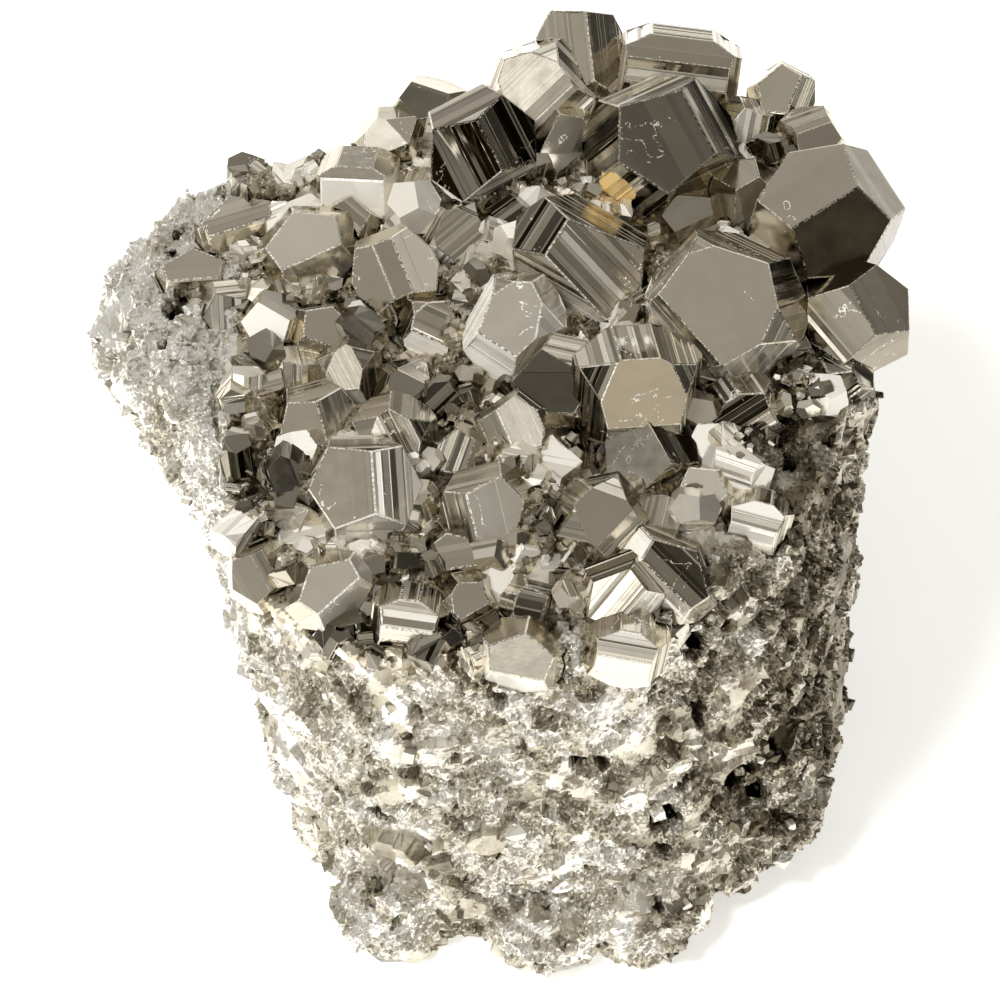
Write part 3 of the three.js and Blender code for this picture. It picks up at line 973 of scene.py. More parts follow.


# How each crystal grew, where it is not plain: front, sides, then the films that its front, up, right,
# low and left faces carry. The films are picked side by side and are partly tarnish and partly painted
# light: dark ones paint dark reflections and shade, white ones a painted white sheen.
FROSTED, PALE, BRIGHT, CLEAN, DULL, BROWN, DARK, BLACK = FilmAndReflection
SMOOTH, FAINT, FINE, BOLD = Grooving
GROWTHS = {
    "crown": Growth(FAINT, BOLD, (BROWN, CLEAN, BLACK, DULL, BROWN)),
    "octagon": Growth(SMOOTH, BOLD, (CLEAN, CLEAN, DULL, CLEAN, BROWN)),
    "right_hexagon": Growth(SMOOTH, FINE, (CLEAN, CLEAN, CLEAN, PALE, BRIGHT)),
    "right_back": Growth(SMOOTH, FAINT, (BLACK, CLEAN, BROWN, CLEAN, CLEAN)),
    "striated_bar": Growth(BOLD, BOLD, (CLEAN, DULL, CLEAN, BRIGHT, BROWN)),
    "left_front": Growth(FAINT, BOLD, (CLEAN, CLEAN, PALE, FROSTED, BRIGHT)),
    "centre_tall": Growth(SMOOTH, FINE, (BRIGHT, CLEAN, PALE, FROSTED, FROSTED)),
    "dark_striated": Growth(BOLD, BOLD, (BLACK, CLEAN, BLACK, FROSTED, PALE)),
    "back_slab": Growth(FAINT, BOLD, (CLEAN, CLEAN, CLEAN, CLEAN, CLEAN)),
    "peak_front": Growth(FAINT, BOLD, (CLEAN, CLEAN, CLEAN, PALE, CLEAN)),
    "peak_rear": Growth(FAINT, FINE, (BRIGHT, CLEAN, CLEAN, CLEAN, CLEAN)),
    "right_edge": Growth(FINE, FAINT, (CLEAN, CLEAN, BROWN, BROWN, CLEAN)),
    "left_slab": Growth(SMOOTH, FAINT, (BRIGHT, CLEAN, DULL, BRIGHT, CLEAN)),
    "left_twin_face": Growth(SMOOTH, FAINT, (CLEAN, CLEAN, BRIGHT, CLEAN, CLEAN)),
    "left_back_box": Growth(FAINT, FAINT, (FROSTED, CLEAN, FROSTED, FROSTED, CLEAN)),
    "left_pillar": Growth(SMOOTH, FINE, (CLEAN, CLEAN, CLEAN, FROSTED, CLEAN)),
    "barrel": Growth(BOLD, FINE, (CLEAN, CLEAN, BROWN, FROSTED, CLEAN)),
    "centre_dark": Growth(FAINT, FINE, (BRIGHT, CLEAN, CLEAN, DULL, DULL)),
    "octagon_shoulder": Growth(FAINT, FINE, (DARK, DULL, DULL, DULL, DULL)),
    "centre_pale": Growth(FAINT, FINE, (BRIGHT, CLEAN, CLEAN, CLEAN, CLEAN)),
    "under_octagon": Growth(SMOOTH, BOLD, (DARK, CLEAN, BLACK, DULL, CLEAN)),
    "front_long": Growth(BOLD, BOLD, (DULL, CLEAN, BROWN, PALE, FROSTED)),
    "front_white": Growth(FINE, BOLD, (CLEAN, BROWN, CLEAN, FROSTED, BRIGHT)),
    "front_striped_box": Growth(BOLD, FINE, (BRIGHT, CLEAN, CLEAN, PALE, CLEAN)),
    "low_striped": Growth(BOLD, BOLD, (PALE, CLEAN, BROWN, BRIGHT, DULL)),
    "right_bars": Growth(BOLD, BOLD, (BROWN, CLEAN, DULL, CLEAN, DULL)),
    "right_low_striated": Growth(BOLD, BOLD, (PALE, CLEAN, CLEAN, FROSTED, CLEAN)),
    "right_dark_grooved": Growth(BOLD, BOLD, (BLACK, CLEAN, BROWN, BROWN, BROWN)),
    "left_grooved": Growth(FINE, FINE),
    "left_low_beige": Growth(SMOOTH, FAINT, (BRIGHT, CLEAN, PALE, CLEAN, DULL)),
    "left_tall": Growth(FAINT, FINE, (CLEAN, CLEAN, BROWN, PALE, CLEAN)),
    "centre_left_grooved": Growth(BOLD, FINE, (DULL, CLEAN, DULL, BRIGHT, DULL)),
    "mid_left": Growth(FINE, FINE, (CLEAN, CLEAN, BROWN, FROSTED, DULL)),
    "brown_striated": Growth(BOLD, BOLD, (DULL, CLEAN, BROWN, CLEAN, CLEAN)),
    "slab_foot": Growth(BOLD, FINE, (PALE, BRIGHT, CLEAN, FROSTED, CLEAN)),
    "wedge": Growth(SMOOTH, FAINT, (DULL, CLEAN, CLEAN, DULL, DULL)),
    "banded": Growth(FINE, BOLD, (CLEAN, CLEAN, CLEAN, FROSTED, CLEAN)),
    "right_upper_dark": Growth(FAINT, FAINT, (BROWN, CLEAN, DULL, DULL, DULL)),
    "right_upper_grey": Growth(FAINT, FAINT, (DULL, CLEAN, CLEAN, DULL, CLEAN)),
    "rim_dark": Growth(FAINT, FAINT, (BROWN, CLEAN, DULL, DULL, DULL)),
    "rim_pale": Growth(SMOOTH, FAINT, (BRIGHT, CLEAN, CLEAN, CLEAN, CLEAN)),
    "wing_block": Growth(BOLD, FINE, (CLEAN, CLEAN, DULL, BRIGHT, CLEAN)),
    "wing_white": Growth(SMOOTH, FAINT, (FROSTED, BROWN, CLEAN, FROSTED, CLEAN)),
    "right_white": Growth(SMOOTH, FAINT, (FROSTED, CLEAN, CLEAN, FROSTED, CLEAN)),
    "front_facet": Growth(SMOOTH, FAINT, (DULL, CLEAN, DULL, FROSTED, FROSTED)),
    "front_bright": Growth(SMOOTH, FAINT, (BRIGHT, CLEAN, CLEAN, PALE, CLEAN)),
    "front_block": Growth(FINE, FINE, (CLEAN, CLEAN, BROWN, BRIGHT, CLEAN)),
    "front_hexagon": Growth(SMOOTH, FINE),
    "centre_dome": Growth(FAINT, FINE, (DULL, CLEAN, BROWN, CLEAN, CLEAN)),
}


@dataclass
class CrystalField:
    """All the crystals on the upper face, and how each of them grew."""

    finish: GrownPyrite = GrownPyrite()
    # The same finish with the painted warm reflection, for the crown.
    with_painted_reflection: GrownPyrite = GrownPyrite(name="pyrite grown faces stained", painted_reflection_at_mm=PAINTED_REFLECTION_AT_MM)
    growth: dict[str, Growth] = field(default_factory=lambda: GROWTHS)

    def build(self) -> None:
        """Builds, dresses and mounts every crystal."""
        plain, with_painted_reflection = self.finish.material(), self.with_painted_reflection.material()
        nodes = sorted(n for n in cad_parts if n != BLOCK_NODE)
        for seed, node in enumerate(nodes, start=1):
            growth = self.growth.get(node.removesuffix("_crystal"), Growth())
            piece = GrownCrystal(node, growth, seed).build()
            # The crown gets the finish with the painted warm reflection.
            piece.data.materials.append(with_painted_reflection if node == PAINTED_REFLECTION_NODE else plain)
            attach(piece, BODY)
            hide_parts(node)
            LOG.info("%s: %d faces", piece.name, len(piece.data.polygons))


# ---- The granular block ------------------------------------------------------------------------


@dataclass
class GrainShapes:
    """The few grain and crystal shapes that the layers repeat."""

    STREAK = "streak"

    seed: int = 3
    terrace_unit: float = 0.45
    shard_points: int = 9
    shard_flat: float = 0.8
    shard_reach: tuple[float, float] = (0.75, 1.0)
    block_size: float = 1.25
    block_uneven: tuple[float, float] = (0.85, 1.15)
    block_broken_at: tuple[float, float] = (0.55, 0.75)
    # A twelve-sided crystal: its cube corners, and the high and low reach of its other corners.
    corner: float = 0.62
    high: float = 0.93
    low: float = 0.47
    stretch: tuple[float, float] = (0.75, 1.3)
    bar_size: float = 1.15
    bar_width: tuple[float, float] = (0.6, 0.9)
    bar_length: tuple[float, float] = (1.1, 1.5)
    bar_uneven: tuple[float, float] = (0.9, 1.1)
    streaks: tuple[float, float] = (-0.5, 0.5)
    made: list[Piece] = field(default_factory=list)

    def shards(self, count: int = 5) -> bpy.types.Collection:
        """Makes broken grains, each a small irregular solid.

        Args:
            count: how many shapes.

        Returns:
            The collection of shapes, each about 2 across.
        """
        rng = random.Random(self.seed)
        group = bpy.data.collections.new("shards")
        for number in range(count):
            mesh = bmesh.new()
            for _ in range(self.shard_points):
                point = Vector([rng.gauss(0, 1) for _ in range(3)]).normalized()
                point.z *= self.shard_flat
                mesh.verts.new(point * rng.uniform(*self.shard_reach))
            self._hull(mesh)
            self._keep(mesh, group, f"shard{number}")
        return group

    def blocks(self, count: int = 3) -> bpy.types.Collection:
        """Makes cleaner grains: cubes with uneven sides and a corner broken off.

        Args:
            count: how many shapes.

        Returns:
            The collection of shapes, each about 2 across.
        """
        rng = random.Random(self.seed + 1)
        group = bpy.data.collections.new("blocks")
        for number in range(count):
            mesh = bmesh.new()
            bmesh.ops.create_cube(mesh, size=self.block_size)
            for vertex in mesh.verts:
                vertex.co *= rng.uniform(*self.block_uneven)
            corner = Vector((1, 1, 1)).normalized()
            bmesh.ops.bisect_plane(
                mesh,
                geom=[*mesh.verts, *mesh.edges, *mesh.faces],
                plane_co=corner * rng.uniform(*self.block_broken_at),
                plane_no=corner,
                clear_outer=True,
            )
            self._hull(mesh)
            self._keep(mesh, group, f"block{number}")
        return group

    def pyritohedra(self, count: int = 3) -> bpy.types.Collection:
        """Makes small twelve-sided crystals, some stretched, with a few ridges.

        Args:
            count: how many shapes.

        Returns:
            The collection of shapes, each about 2 across.
        """
        rng = random.Random(self.seed + 2)
        group = bpy.data.collections.new("pyritohedra")
        for number in range(count):
            mesh = bmesh.new()
            points = [Vector(at) * self.corner for at in product((-1, 1), repeat=3)]
            for low, high in product((-self.low, self.low), (-self.high, self.high)):
                points += [Vector((0, low, high)), Vector((low, high, 0)), Vector((high, 0, low))]
            stretch = [rng.uniform(*self.stretch) for _ in range(3)]
            for point in points:
                mesh.verts.new([p * s for p, s in zip(point, stretch)])
            self._hull(mesh)
            bmesh.ops.dissolve_limit(mesh, angle_limit=math.radians(5), verts=mesh.verts, edges=mesh.edges)
            self._groove(mesh, rng, Grooving.BOLD, 3)
            self._keep(mesh, group, f"pyritohedron{number}")
        for number in range(count):
            mesh = bmesh.new()
            bmesh.ops.create_cube(mesh, size=self.bar_size)
            sides = Vector((rng.uniform(*self.bar_width), 1.0, rng.uniform(*self.bar_length)))
            for vertex in mesh.verts:
                vertex.co = vertex.co * sides * rng.uniform(*self.bar_uneven)
            self._hull(mesh)
            self._groove(mesh, rng, Grooving.BOLD, 2)
            self._keep(mesh, group, f"bar{number}")
        return group

    def _groove(self, mesh: Mesh, rng: random.Random, style: Grooving, every: int) -> None:
        """Cuts terraces across some faces, each terrace streaked with its own film.

        Args:
            mesh: the crystal's mesh.
            rng: the random numbers to use.
            style: how the grooved faces grew.
            every: 2 for every second face, 3 for every third.
        """
        streak = mesh.faces.layers.float.new(self.STREAK)
        terraces = Terraces(rng, self.terrace_unit)
        for face in list(mesh.faces)[::every]:
            longest = max(face.edges, key=lambda e: e.calc_length())
            along = longest.verts[1].co - longest.verts[0].co
            normal = face.normal.copy()
            across = normal.cross(along).normalized()
            for part in terraces.cut(mesh, face, style, normal, across):
                part[streak] = rng.uniform(*self.streaks)

    def _hull(self, mesh: Mesh) -> None:
        """Wraps a mesh's points in one closed solid.

        Args:
            mesh: the mesh of points.
        """
        hull = bmesh.ops.convex_hull(mesh, input=mesh.verts)
        loose = {*hull["geom_interior"], *hull["geom_unused"]}
        verts = [g for g in loose if isinstance(g, bmesh.types.BMVert)]
        bmesh.ops.delete(mesh, geom=verts, context="VERTS")
        bmesh.ops.recalc_face_normals(mesh, faces=mesh.faces)

    def _keep(self, mesh: Mesh, group: bpy.types.Collection, name: str) -> None:
        """Puts a finished shape in its collection, out of the scene.

        Args:
            mesh: the finished mesh.
            group: the collection.
            name: the shape's name.
        """
        data = bpy.data.meshes.new(name)
        mesh.to_mesh(data)
        mesh.free()
        shape = bpy.data.objects.new(name, data)
        group.objects.link(shape)
        self.made.append(shape)

    def discard(self) -> None:
        """Removes the shapes once every layer has used them."""
        for shape in self.made:
            bpy.data.objects.remove(shape)
        self.made.clear()


@dataclass
class GrainLayer:
    """One layer of repeated grains, scattered on a carrier by a node tree."""

    TONE_AND_SHADE = "grain_tone"
    CRUMBLY = "crumbly"

    name: str
    shapes: bpy.types.Collection
    finish: bpy.types.Material
    per_mm2: float
    smallest_mm: float
    largest_mm: float
    sunk_mm: float
    apart_mm: float
    seed: int
    # Shares of the sinking depth from the deepest to the highest, how rare the large grains
    # are, the stretch along each axis, and the film.
    seats: tuple[float, float] = (-1.0, 0.35)
    rarity: float = 2.2
    stretch: tuple[float, float] = (0.7, 1.25)
    film: tuple[float, float] = (-1.0, 0.65)

    def scatter(self, carrier: Piece) -> Piece:
        """Scatters the layer and makes it a plain mesh.

        Args:
            carrier: the surface that the grains sit on.

        Returns:
            The layer as one piece.
        """
        sizes = {
            "Density": self.per_mm2 / (MM * MM),
            "Spacing": self.apart_mm * MM,
            "Smallest": self.smallest_mm * MM / 2,
            "Largest": self.largest_mm * MM / 2,
            "Sunk": self.sunk_mm * MM,
            "Seed": self.seed,
        }
        return run_tree(carrier, self._tree(), sizes, self.name)

    def _tree(self) -> Tree:
        """Builds the scattering tree.

        Returns:
            The geometry node tree, with named inputs for its sizes.
        """
        sizes = dict.fromkeys(("Density", "Spacing", "Smallest", "Largest", "Sunk"), "Float")
        tree, given = new_tree(self.name, {**sizes, "Seed": "Int"})
        points = add_node(
            tree,
            "GeometryNodeDistributePointsOnFaces",
            {
                "Mesh": given["Geometry"],
                "Distance Min": given["Spacing"],
                "Density Max": given["Density"],
                "Seed": given["Seed"],
            },
            distribute_method="POISSON",
        )
        lowest, highest = self.seats
        depth = add_node(
            tree,
            "FunctionNodeRandomValue",
            {"Seed": given["Seed"], 2: lowest, 3: highest},
            data_type="FLOAT",
        )
        inward = add_node(
            tree, "ShaderNodeMath", {0: depth.outputs[1], 1: given["Sunk"]}, operation="MULTIPLY"
        )
        offset = add_node(
            tree,
            "ShaderNodeVectorMath",
            {0: points.outputs["Normal"], "Scale": inward.outputs[0]},
            operation="SCALE",
        )
        seated = add_node(
            tree,
            "GeometryNodeSetPosition",
            {"Geometry": points.outputs["Points"], "Offset": offset.outputs[0]},
        )
        grains = add_node(
            tree,
            "GeometryNodeCollectionInfo",
            {"Collection": self.shapes, "Separate Children": True, "Reset Children": True},
        )
        turned = add_node(
            tree,
            "FunctionNodeRandomValue",
            {0: (0.0, 0.0, 0.0), 1: (math.tau,) * 3},
            data_type="FLOAT_VECTOR",
        )
        share = add_node(tree, "FunctionNodeRandomValue", {2: 0.0, 3: 1.0, "Seed": 5})
        skewed = add_node(tree, "ShaderNodeMath", {0: share.outputs[1], 1: self.rarity}, operation="POWER")
        size = add_node(
            tree,
            "ShaderNodeMapRange",
            {"Value": skewed.outputs[0], "To Min": given["Smallest"], "To Max": given["Largest"]},
        )
        narrow, wide = self.stretch
        proportions = add_node(
            tree,
            "FunctionNodeRandomValue",
            {0: (narrow,) * 3, 1: (wide,) * 3, "Seed": 9},
            data_type="FLOAT_VECTOR",
        )
        scale = add_node(
            tree,
            "ShaderNodeVectorMath",
            {0: proportions.outputs[0], "Scale": size.outputs[0]},
            operation="SCALE",
        )
        placed = add_node(
            tree,
            "GeometryNodeInstanceOnPoints",
            {
                "Points": seated.outputs[0],
                "Instance": grains.outputs[0],
                "Rotation": turned.outputs[0],
                "Scale": scale.outputs[0],
                "Pick Instance": True,
            },
        )
        marked = placed.outputs[0]
        marks = ((self.TONE_AND_SHADE, 0.0, 1.0), (self.CRUMBLY, 0.0, 1.0), (GrownCrystal.FILM, *self.film))
        for seed, (name, low, high) in enumerate(marks, start=13):
            chance = add_node(tree, "FunctionNodeRandomValue", {2: low, 3: high, "Seed": seed})
            marked = add_node(
                tree,
                "GeometryNodeStoreNamedAttribute",
                {"Geometry": marked, "Value": chance.outputs[1], "Name": name},
                data_type="FLOAT",
                domain="INSTANCE",
            ).outputs[0]
        end_tree(tree, marked, self.finish)
        return tree


@dataclass
class CrumpledSkin:
    """The block's broken surface, remade evenly and crumpled grain by grain by a node tree."""

    name: str
    finish: bpy.types.Material
    even_mm: float = 0.36
    # The grains of each size: their size, how steeply they lean and how far they stand out.
    coarse: tuple[float, float, float] = (4.6, 0.22, 0.5)
    middle: tuple[float, float, float] = (2.1, 0.34, 0.30)
    fine: tuple[float, float, float] = (0.80, 0.46, 0.12)
    patch_mm: float = 6.0
    # Below the first share of a slow noise the surface broke smooth; above the second, crumbly.
    crumbly_from: float = 0.40
    crumbly_to: float = 0.51
    least_crumbly: float = 0.12
    # The small cavities that lie anywhere: how far apart and how deep, where a noise peaks, and how much
    # painted shade darkens them.
    pit_mm: tuple[float, float] = (3.0, 1.5)
    pit_from: float = 0.66
    pit_to: float = 0.72
    pit_shade: float = 0.25
    # The larger cavities: the middle and the radius of each, and how deep they all are.
    cavities_mm: tuple[tuple[float, float, float, float], ...] = (
        (-30.8, 8.7, 46.0, 2.1),
        (8.7, -36.1, 30.0, 1.4),
        (16.8, -34.5, 19.3, 2.0),
        (24.3, -30.1, 20.2, 2.3),
        (27.3, -28.0, 22.8, 2.0),
        (29.6, -25.4, 25.0, 2.3),
        (19.0, -30.4, 40.8, 1.6),
    )
    cavity_depth_mm: float = 3.4
    cavity_floor_mm: float = 0.4
    # How much darker a cavity is painted, as painted shade in the hollow; the small ones get less.
    cavity_shade: float = 4.0
    bias_mm: float = 0.15
    rest_mm: float = 0.05

    def crumple(self, carrier: Piece) -> Piece:
        """Makes the crumpled surface from the closed block.

        Args:
            carrier: the closed block.

        Returns:
            The surface as one piece.
        """
        even = carrier.modifiers.new("even", "REMESH")
        even.mode = "VOXEL"
        even.voxel_size = self.even_mm * MM
        sizes = {
            "Patch scale": 1 / (self.patch_mm * MM),
            "Bias": self.bias_mm * MM,
            "Pit scale": 1 / (self.pit_mm[0] * MM),
            "Pit depth": -self.pit_mm[1] * MM,
            "Cavity depth": -self.cavity_depth_mm * MM,
            "Floor": self.rest_mm * MM,
        }
        for label, (size, lean, stand) in self._grains().items():
            sizes[f"{label} scale"] = 1 / (size * MM)
            sizes[f"{label} lean"] = lean
            sizes[f"{label} stand"] = stand * MM
        for number, (*at, radius) in enumerate(self.cavities_mm):
            sizes[f"Cavity {number}"] = tuple(c * MM for c in at)
            sizes[f"Cavity {number} radius"] = radius * MM
        return run_tree(carrier, self._tree(), sizes, self.name)

    def _grains(self) -> dict[str, tuple[float, float, float]]:
        """The three grain sizes by name."""
        return {"Coarse": self.coarse, "Middle": self.middle, "Fine": self.fine}

    def _tree(self) -> Tree:
        """Builds the crumpling tree.

        Returns:
            The geometry node tree, with named inputs for its sizes.
        """
        names = ["Patch scale", "Bias", "Pit scale", "Pit depth", "Cavity depth", "Floor"]
        names += [f"{label} {kind}" for label in self._grains() for kind in ("scale", "lean", "stand")]
        sockets = dict.fromkeys(names, "Float")
        for number in range(len(self.cavities_mm)):
            sockets |= {f"Cavity {number}": "Vector", f"Cavity {number} radius": "Float"}
        tree, given = new_tree(self.name, sockets)
        place = add_node(tree, "GeometryNodeInputPosition").outputs[0]
        normal = add_node(tree, "GeometryNodeInputNormal").outputs[0]
        crumbly = self._crumbly(tree, given, place)
        height, sunk = self._hollowed(tree, given, place)
        tones = {}
        for label in self._grains():
            lift, tones[label] = self._grain_height(tree, given, label, place)
            if label != "Coarse":
                lift = add_node(
                    tree, "ShaderNodeMath", {0: lift, 1: crumbly}, operation="MULTIPLY"
                ).outputs[0]
            height = add_node(tree, "ShaderNodeMath", {0: height, 1: lift}, operation="ADD").outputs[0]
        offset = add_node(tree, "ShaderNodeVectorMath", {0: normal, "Scale": height}, operation="SCALE")
        moved = add_node(tree, "ShaderNodeVectorMath", {0: place, 1: offset.outputs[0]}, operation="ADD")
        parts = add_node(tree, "ShaderNodeSeparateXYZ", {0: moved.outputs[0]})
        above = add_node(
            tree, "ShaderNodeMath", {0: parts.outputs[2], 1: given["Floor"]}, operation="MAXIMUM"
        )
        target = add_node(
            tree, "ShaderNodeCombineXYZ", {0: parts.outputs[0], 1: parts.outputs[1], 2: above.outputs[0]}
        )
        # Painted shade: each grain's tone is darkened where the surface sinks into a cavity.
        shaded = add_node(
            tree,
            "ShaderNodeMath",
            {0: sunk, 1: -self.cavity_shade, 2: tones["Middle"]},
            operation="MULTIPLY_ADD",
        )
        marked = given["Geometry"]
        for name, value in ((GrainLayer.TONE_AND_SHADE, shaded.outputs[0]), (GrainLayer.CRUMBLY, crumbly)):
            marked = add_node(
                tree,
                "GeometryNodeStoreNamedAttribute",
                {"Geometry": marked, "Value": value, "Name": name},
                data_type="FLOAT",
                domain="FACE",
            ).outputs[0]
        shaped = add_node(
            tree, "GeometryNodeSetPosition", {"Geometry": marked, "Position": target.outputs[0]}
        )
        flat = add_node(tree, "GeometryNodeSetShadeSmooth", {0: shaped.outputs[0], "Shade Smooth": False})
        end_tree(tree, flat.outputs[0], self.finish)
        return tree

    def _hollowed(
        self, tree: Tree, given: bpy.types.bpy_prop_collection, place: Socket
    ) -> tuple[Socket, Socket]:
        """Sinks the small cavities and the larger ones into the surface.

        Args:
            tree: the crumpling tree.
            given: the tree's inputs.
            place: the position.

        Returns:
            The height over the surface, below it in a cavity, and how far it is sunk, 0 to 1, which sets
            the painted shade.
        """
        pits = add_node(
            tree, "ShaderNodeTexNoise", {"Vector": place, "Scale": given["Pit scale"], "Detail": 1.5}
        )
        hollow = add_node(
            tree,
            "ShaderNodeMapRange",
            {"Value": pits.outputs[0], "From Min": self.pit_from, "From Max": self.pit_to},
            interpolation_type="SMOOTHSTEP",
        )
        height = add_node(
            tree,
            "ShaderNodeMath",
            {0: hollow.outputs[0], 1: given["Pit depth"], 2: given["Bias"]},
            operation="MULTIPLY_ADD",
        ).outputs[0]
        sunk = add_node(
            tree, "ShaderNodeMath", {0: hollow.outputs[0], 1: self.pit_shade}, operation="MULTIPLY"
        ).outputs[0]
        for number in range(len(self.cavities_mm)):
            away = add_node(
                tree,
                "ShaderNodeVectorMath",
                {0: place, 1: given[f"Cavity {number}"]},
                operation="DISTANCE",
            )
            cavity = add_node(
                tree,
                "ShaderNodeMapRange",
                {
                    "Value": away.outputs["Value"],
                    "From Min": given[f"Cavity {number} radius"],
                    "From Max": self.cavity_floor_mm * MM,
                },
                interpolation_type="SMOOTHSTEP",
            )
            height = add_node(
                tree,
                "ShaderNodeMath",
                {0: cavity.outputs[0], 1: given["Cavity depth"], 2: height},
                operation="MULTIPLY_ADD",
            ).outputs[0]
            sunk = add_node(
                tree, "ShaderNodeMath", {0: cavity.outputs[0], 1: sunk}, operation="ADD"
            ).outputs[0]
        return height, sunk

    def _crumbly(self, tree: Tree, given: bpy.types.bpy_prop_collection, place: Socket) -> Socket:
        """Tells the crumbly parts from the patches that broke smooth, like shell.

        Args:
            tree: the crumpling tree.
            given: the tree's inputs.
            place: the position.

        Returns:
            A socket near 0 on a smooth patch and 1 where the surface is crumbly.
        """
        patches = add_node(
            tree, "ShaderNodeTexNoise", {"Vector": place, "Scale": given["Patch scale"], "Detail": 2.0}
        )
        return add_node(
            tree,
            "ShaderNodeMapRange",
            {
                "Value": patches.outputs[0],
                "From Min": self.crumbly_from,
                "From Max": self.crumbly_to,
                "To Min": self.least_crumbly,
            },
            interpolation_type="SMOOTHSTEP",
        ).outputs[0]

    @staticmethod
    def _grain_height(
        tree: Tree, given: bpy.types.bpy_prop_collection, label: str, place: Socket
    ) -> tuple[Socket, Socket]:
        """Gives every grain of one size a flat face that leans and stands out at random.

        Args:
            tree: the crumpling tree.
            given: the tree's inputs.
            label: the grain size's name.
            place: the position.

        Returns:
            The height over the surface and a random tone for each grain.
        """
        cells = add_node(tree, "ShaderNodeTexVoronoi", {"Vector": place, "Scale": given[f"{label} scale"]})
        away = add_node(
            tree, "ShaderNodeVectorMath", {0: place, 1: cells.outputs["Position"]}, operation="SUBTRACT"
        )
        chance = add_node(
            tree,
            "ShaderNodeVectorMath",
            {0: cells.outputs["Color"], 1: (2.0, 2.0, 2.0), 2: (-1.0, -1.0, -1.0)},
            operation="MULTIPLY_ADD",
        )
        along = add_node(
            tree,
            "ShaderNodeVectorMath",
            {0: away.outputs[0], 1: chance.outputs[0]},
            operation="DOT_PRODUCT",
        )
        leant = add_node(
            tree,
            "ShaderNodeMath",
            {0: along.outputs["Value"], 1: given[f"{label} lean"]},
            operation="MULTIPLY",
        )
        shares = add_node(tree, "ShaderNodeSeparateXYZ", {0: cells.outputs["Color"]})
        centred = add_node(tree, "ShaderNodeMath", {0: shares.outputs[1], 1: 0.5}, operation="SUBTRACT")
        lift = add_node(
            tree,
            "ShaderNodeMath",
            {0: centred.outputs[0], 1: given[f"{label} stand"], 2: leant.outputs[0]},
            operation="MULTIPLY_ADD",
        )
        return lift.outputs[0], shares.outputs[2]


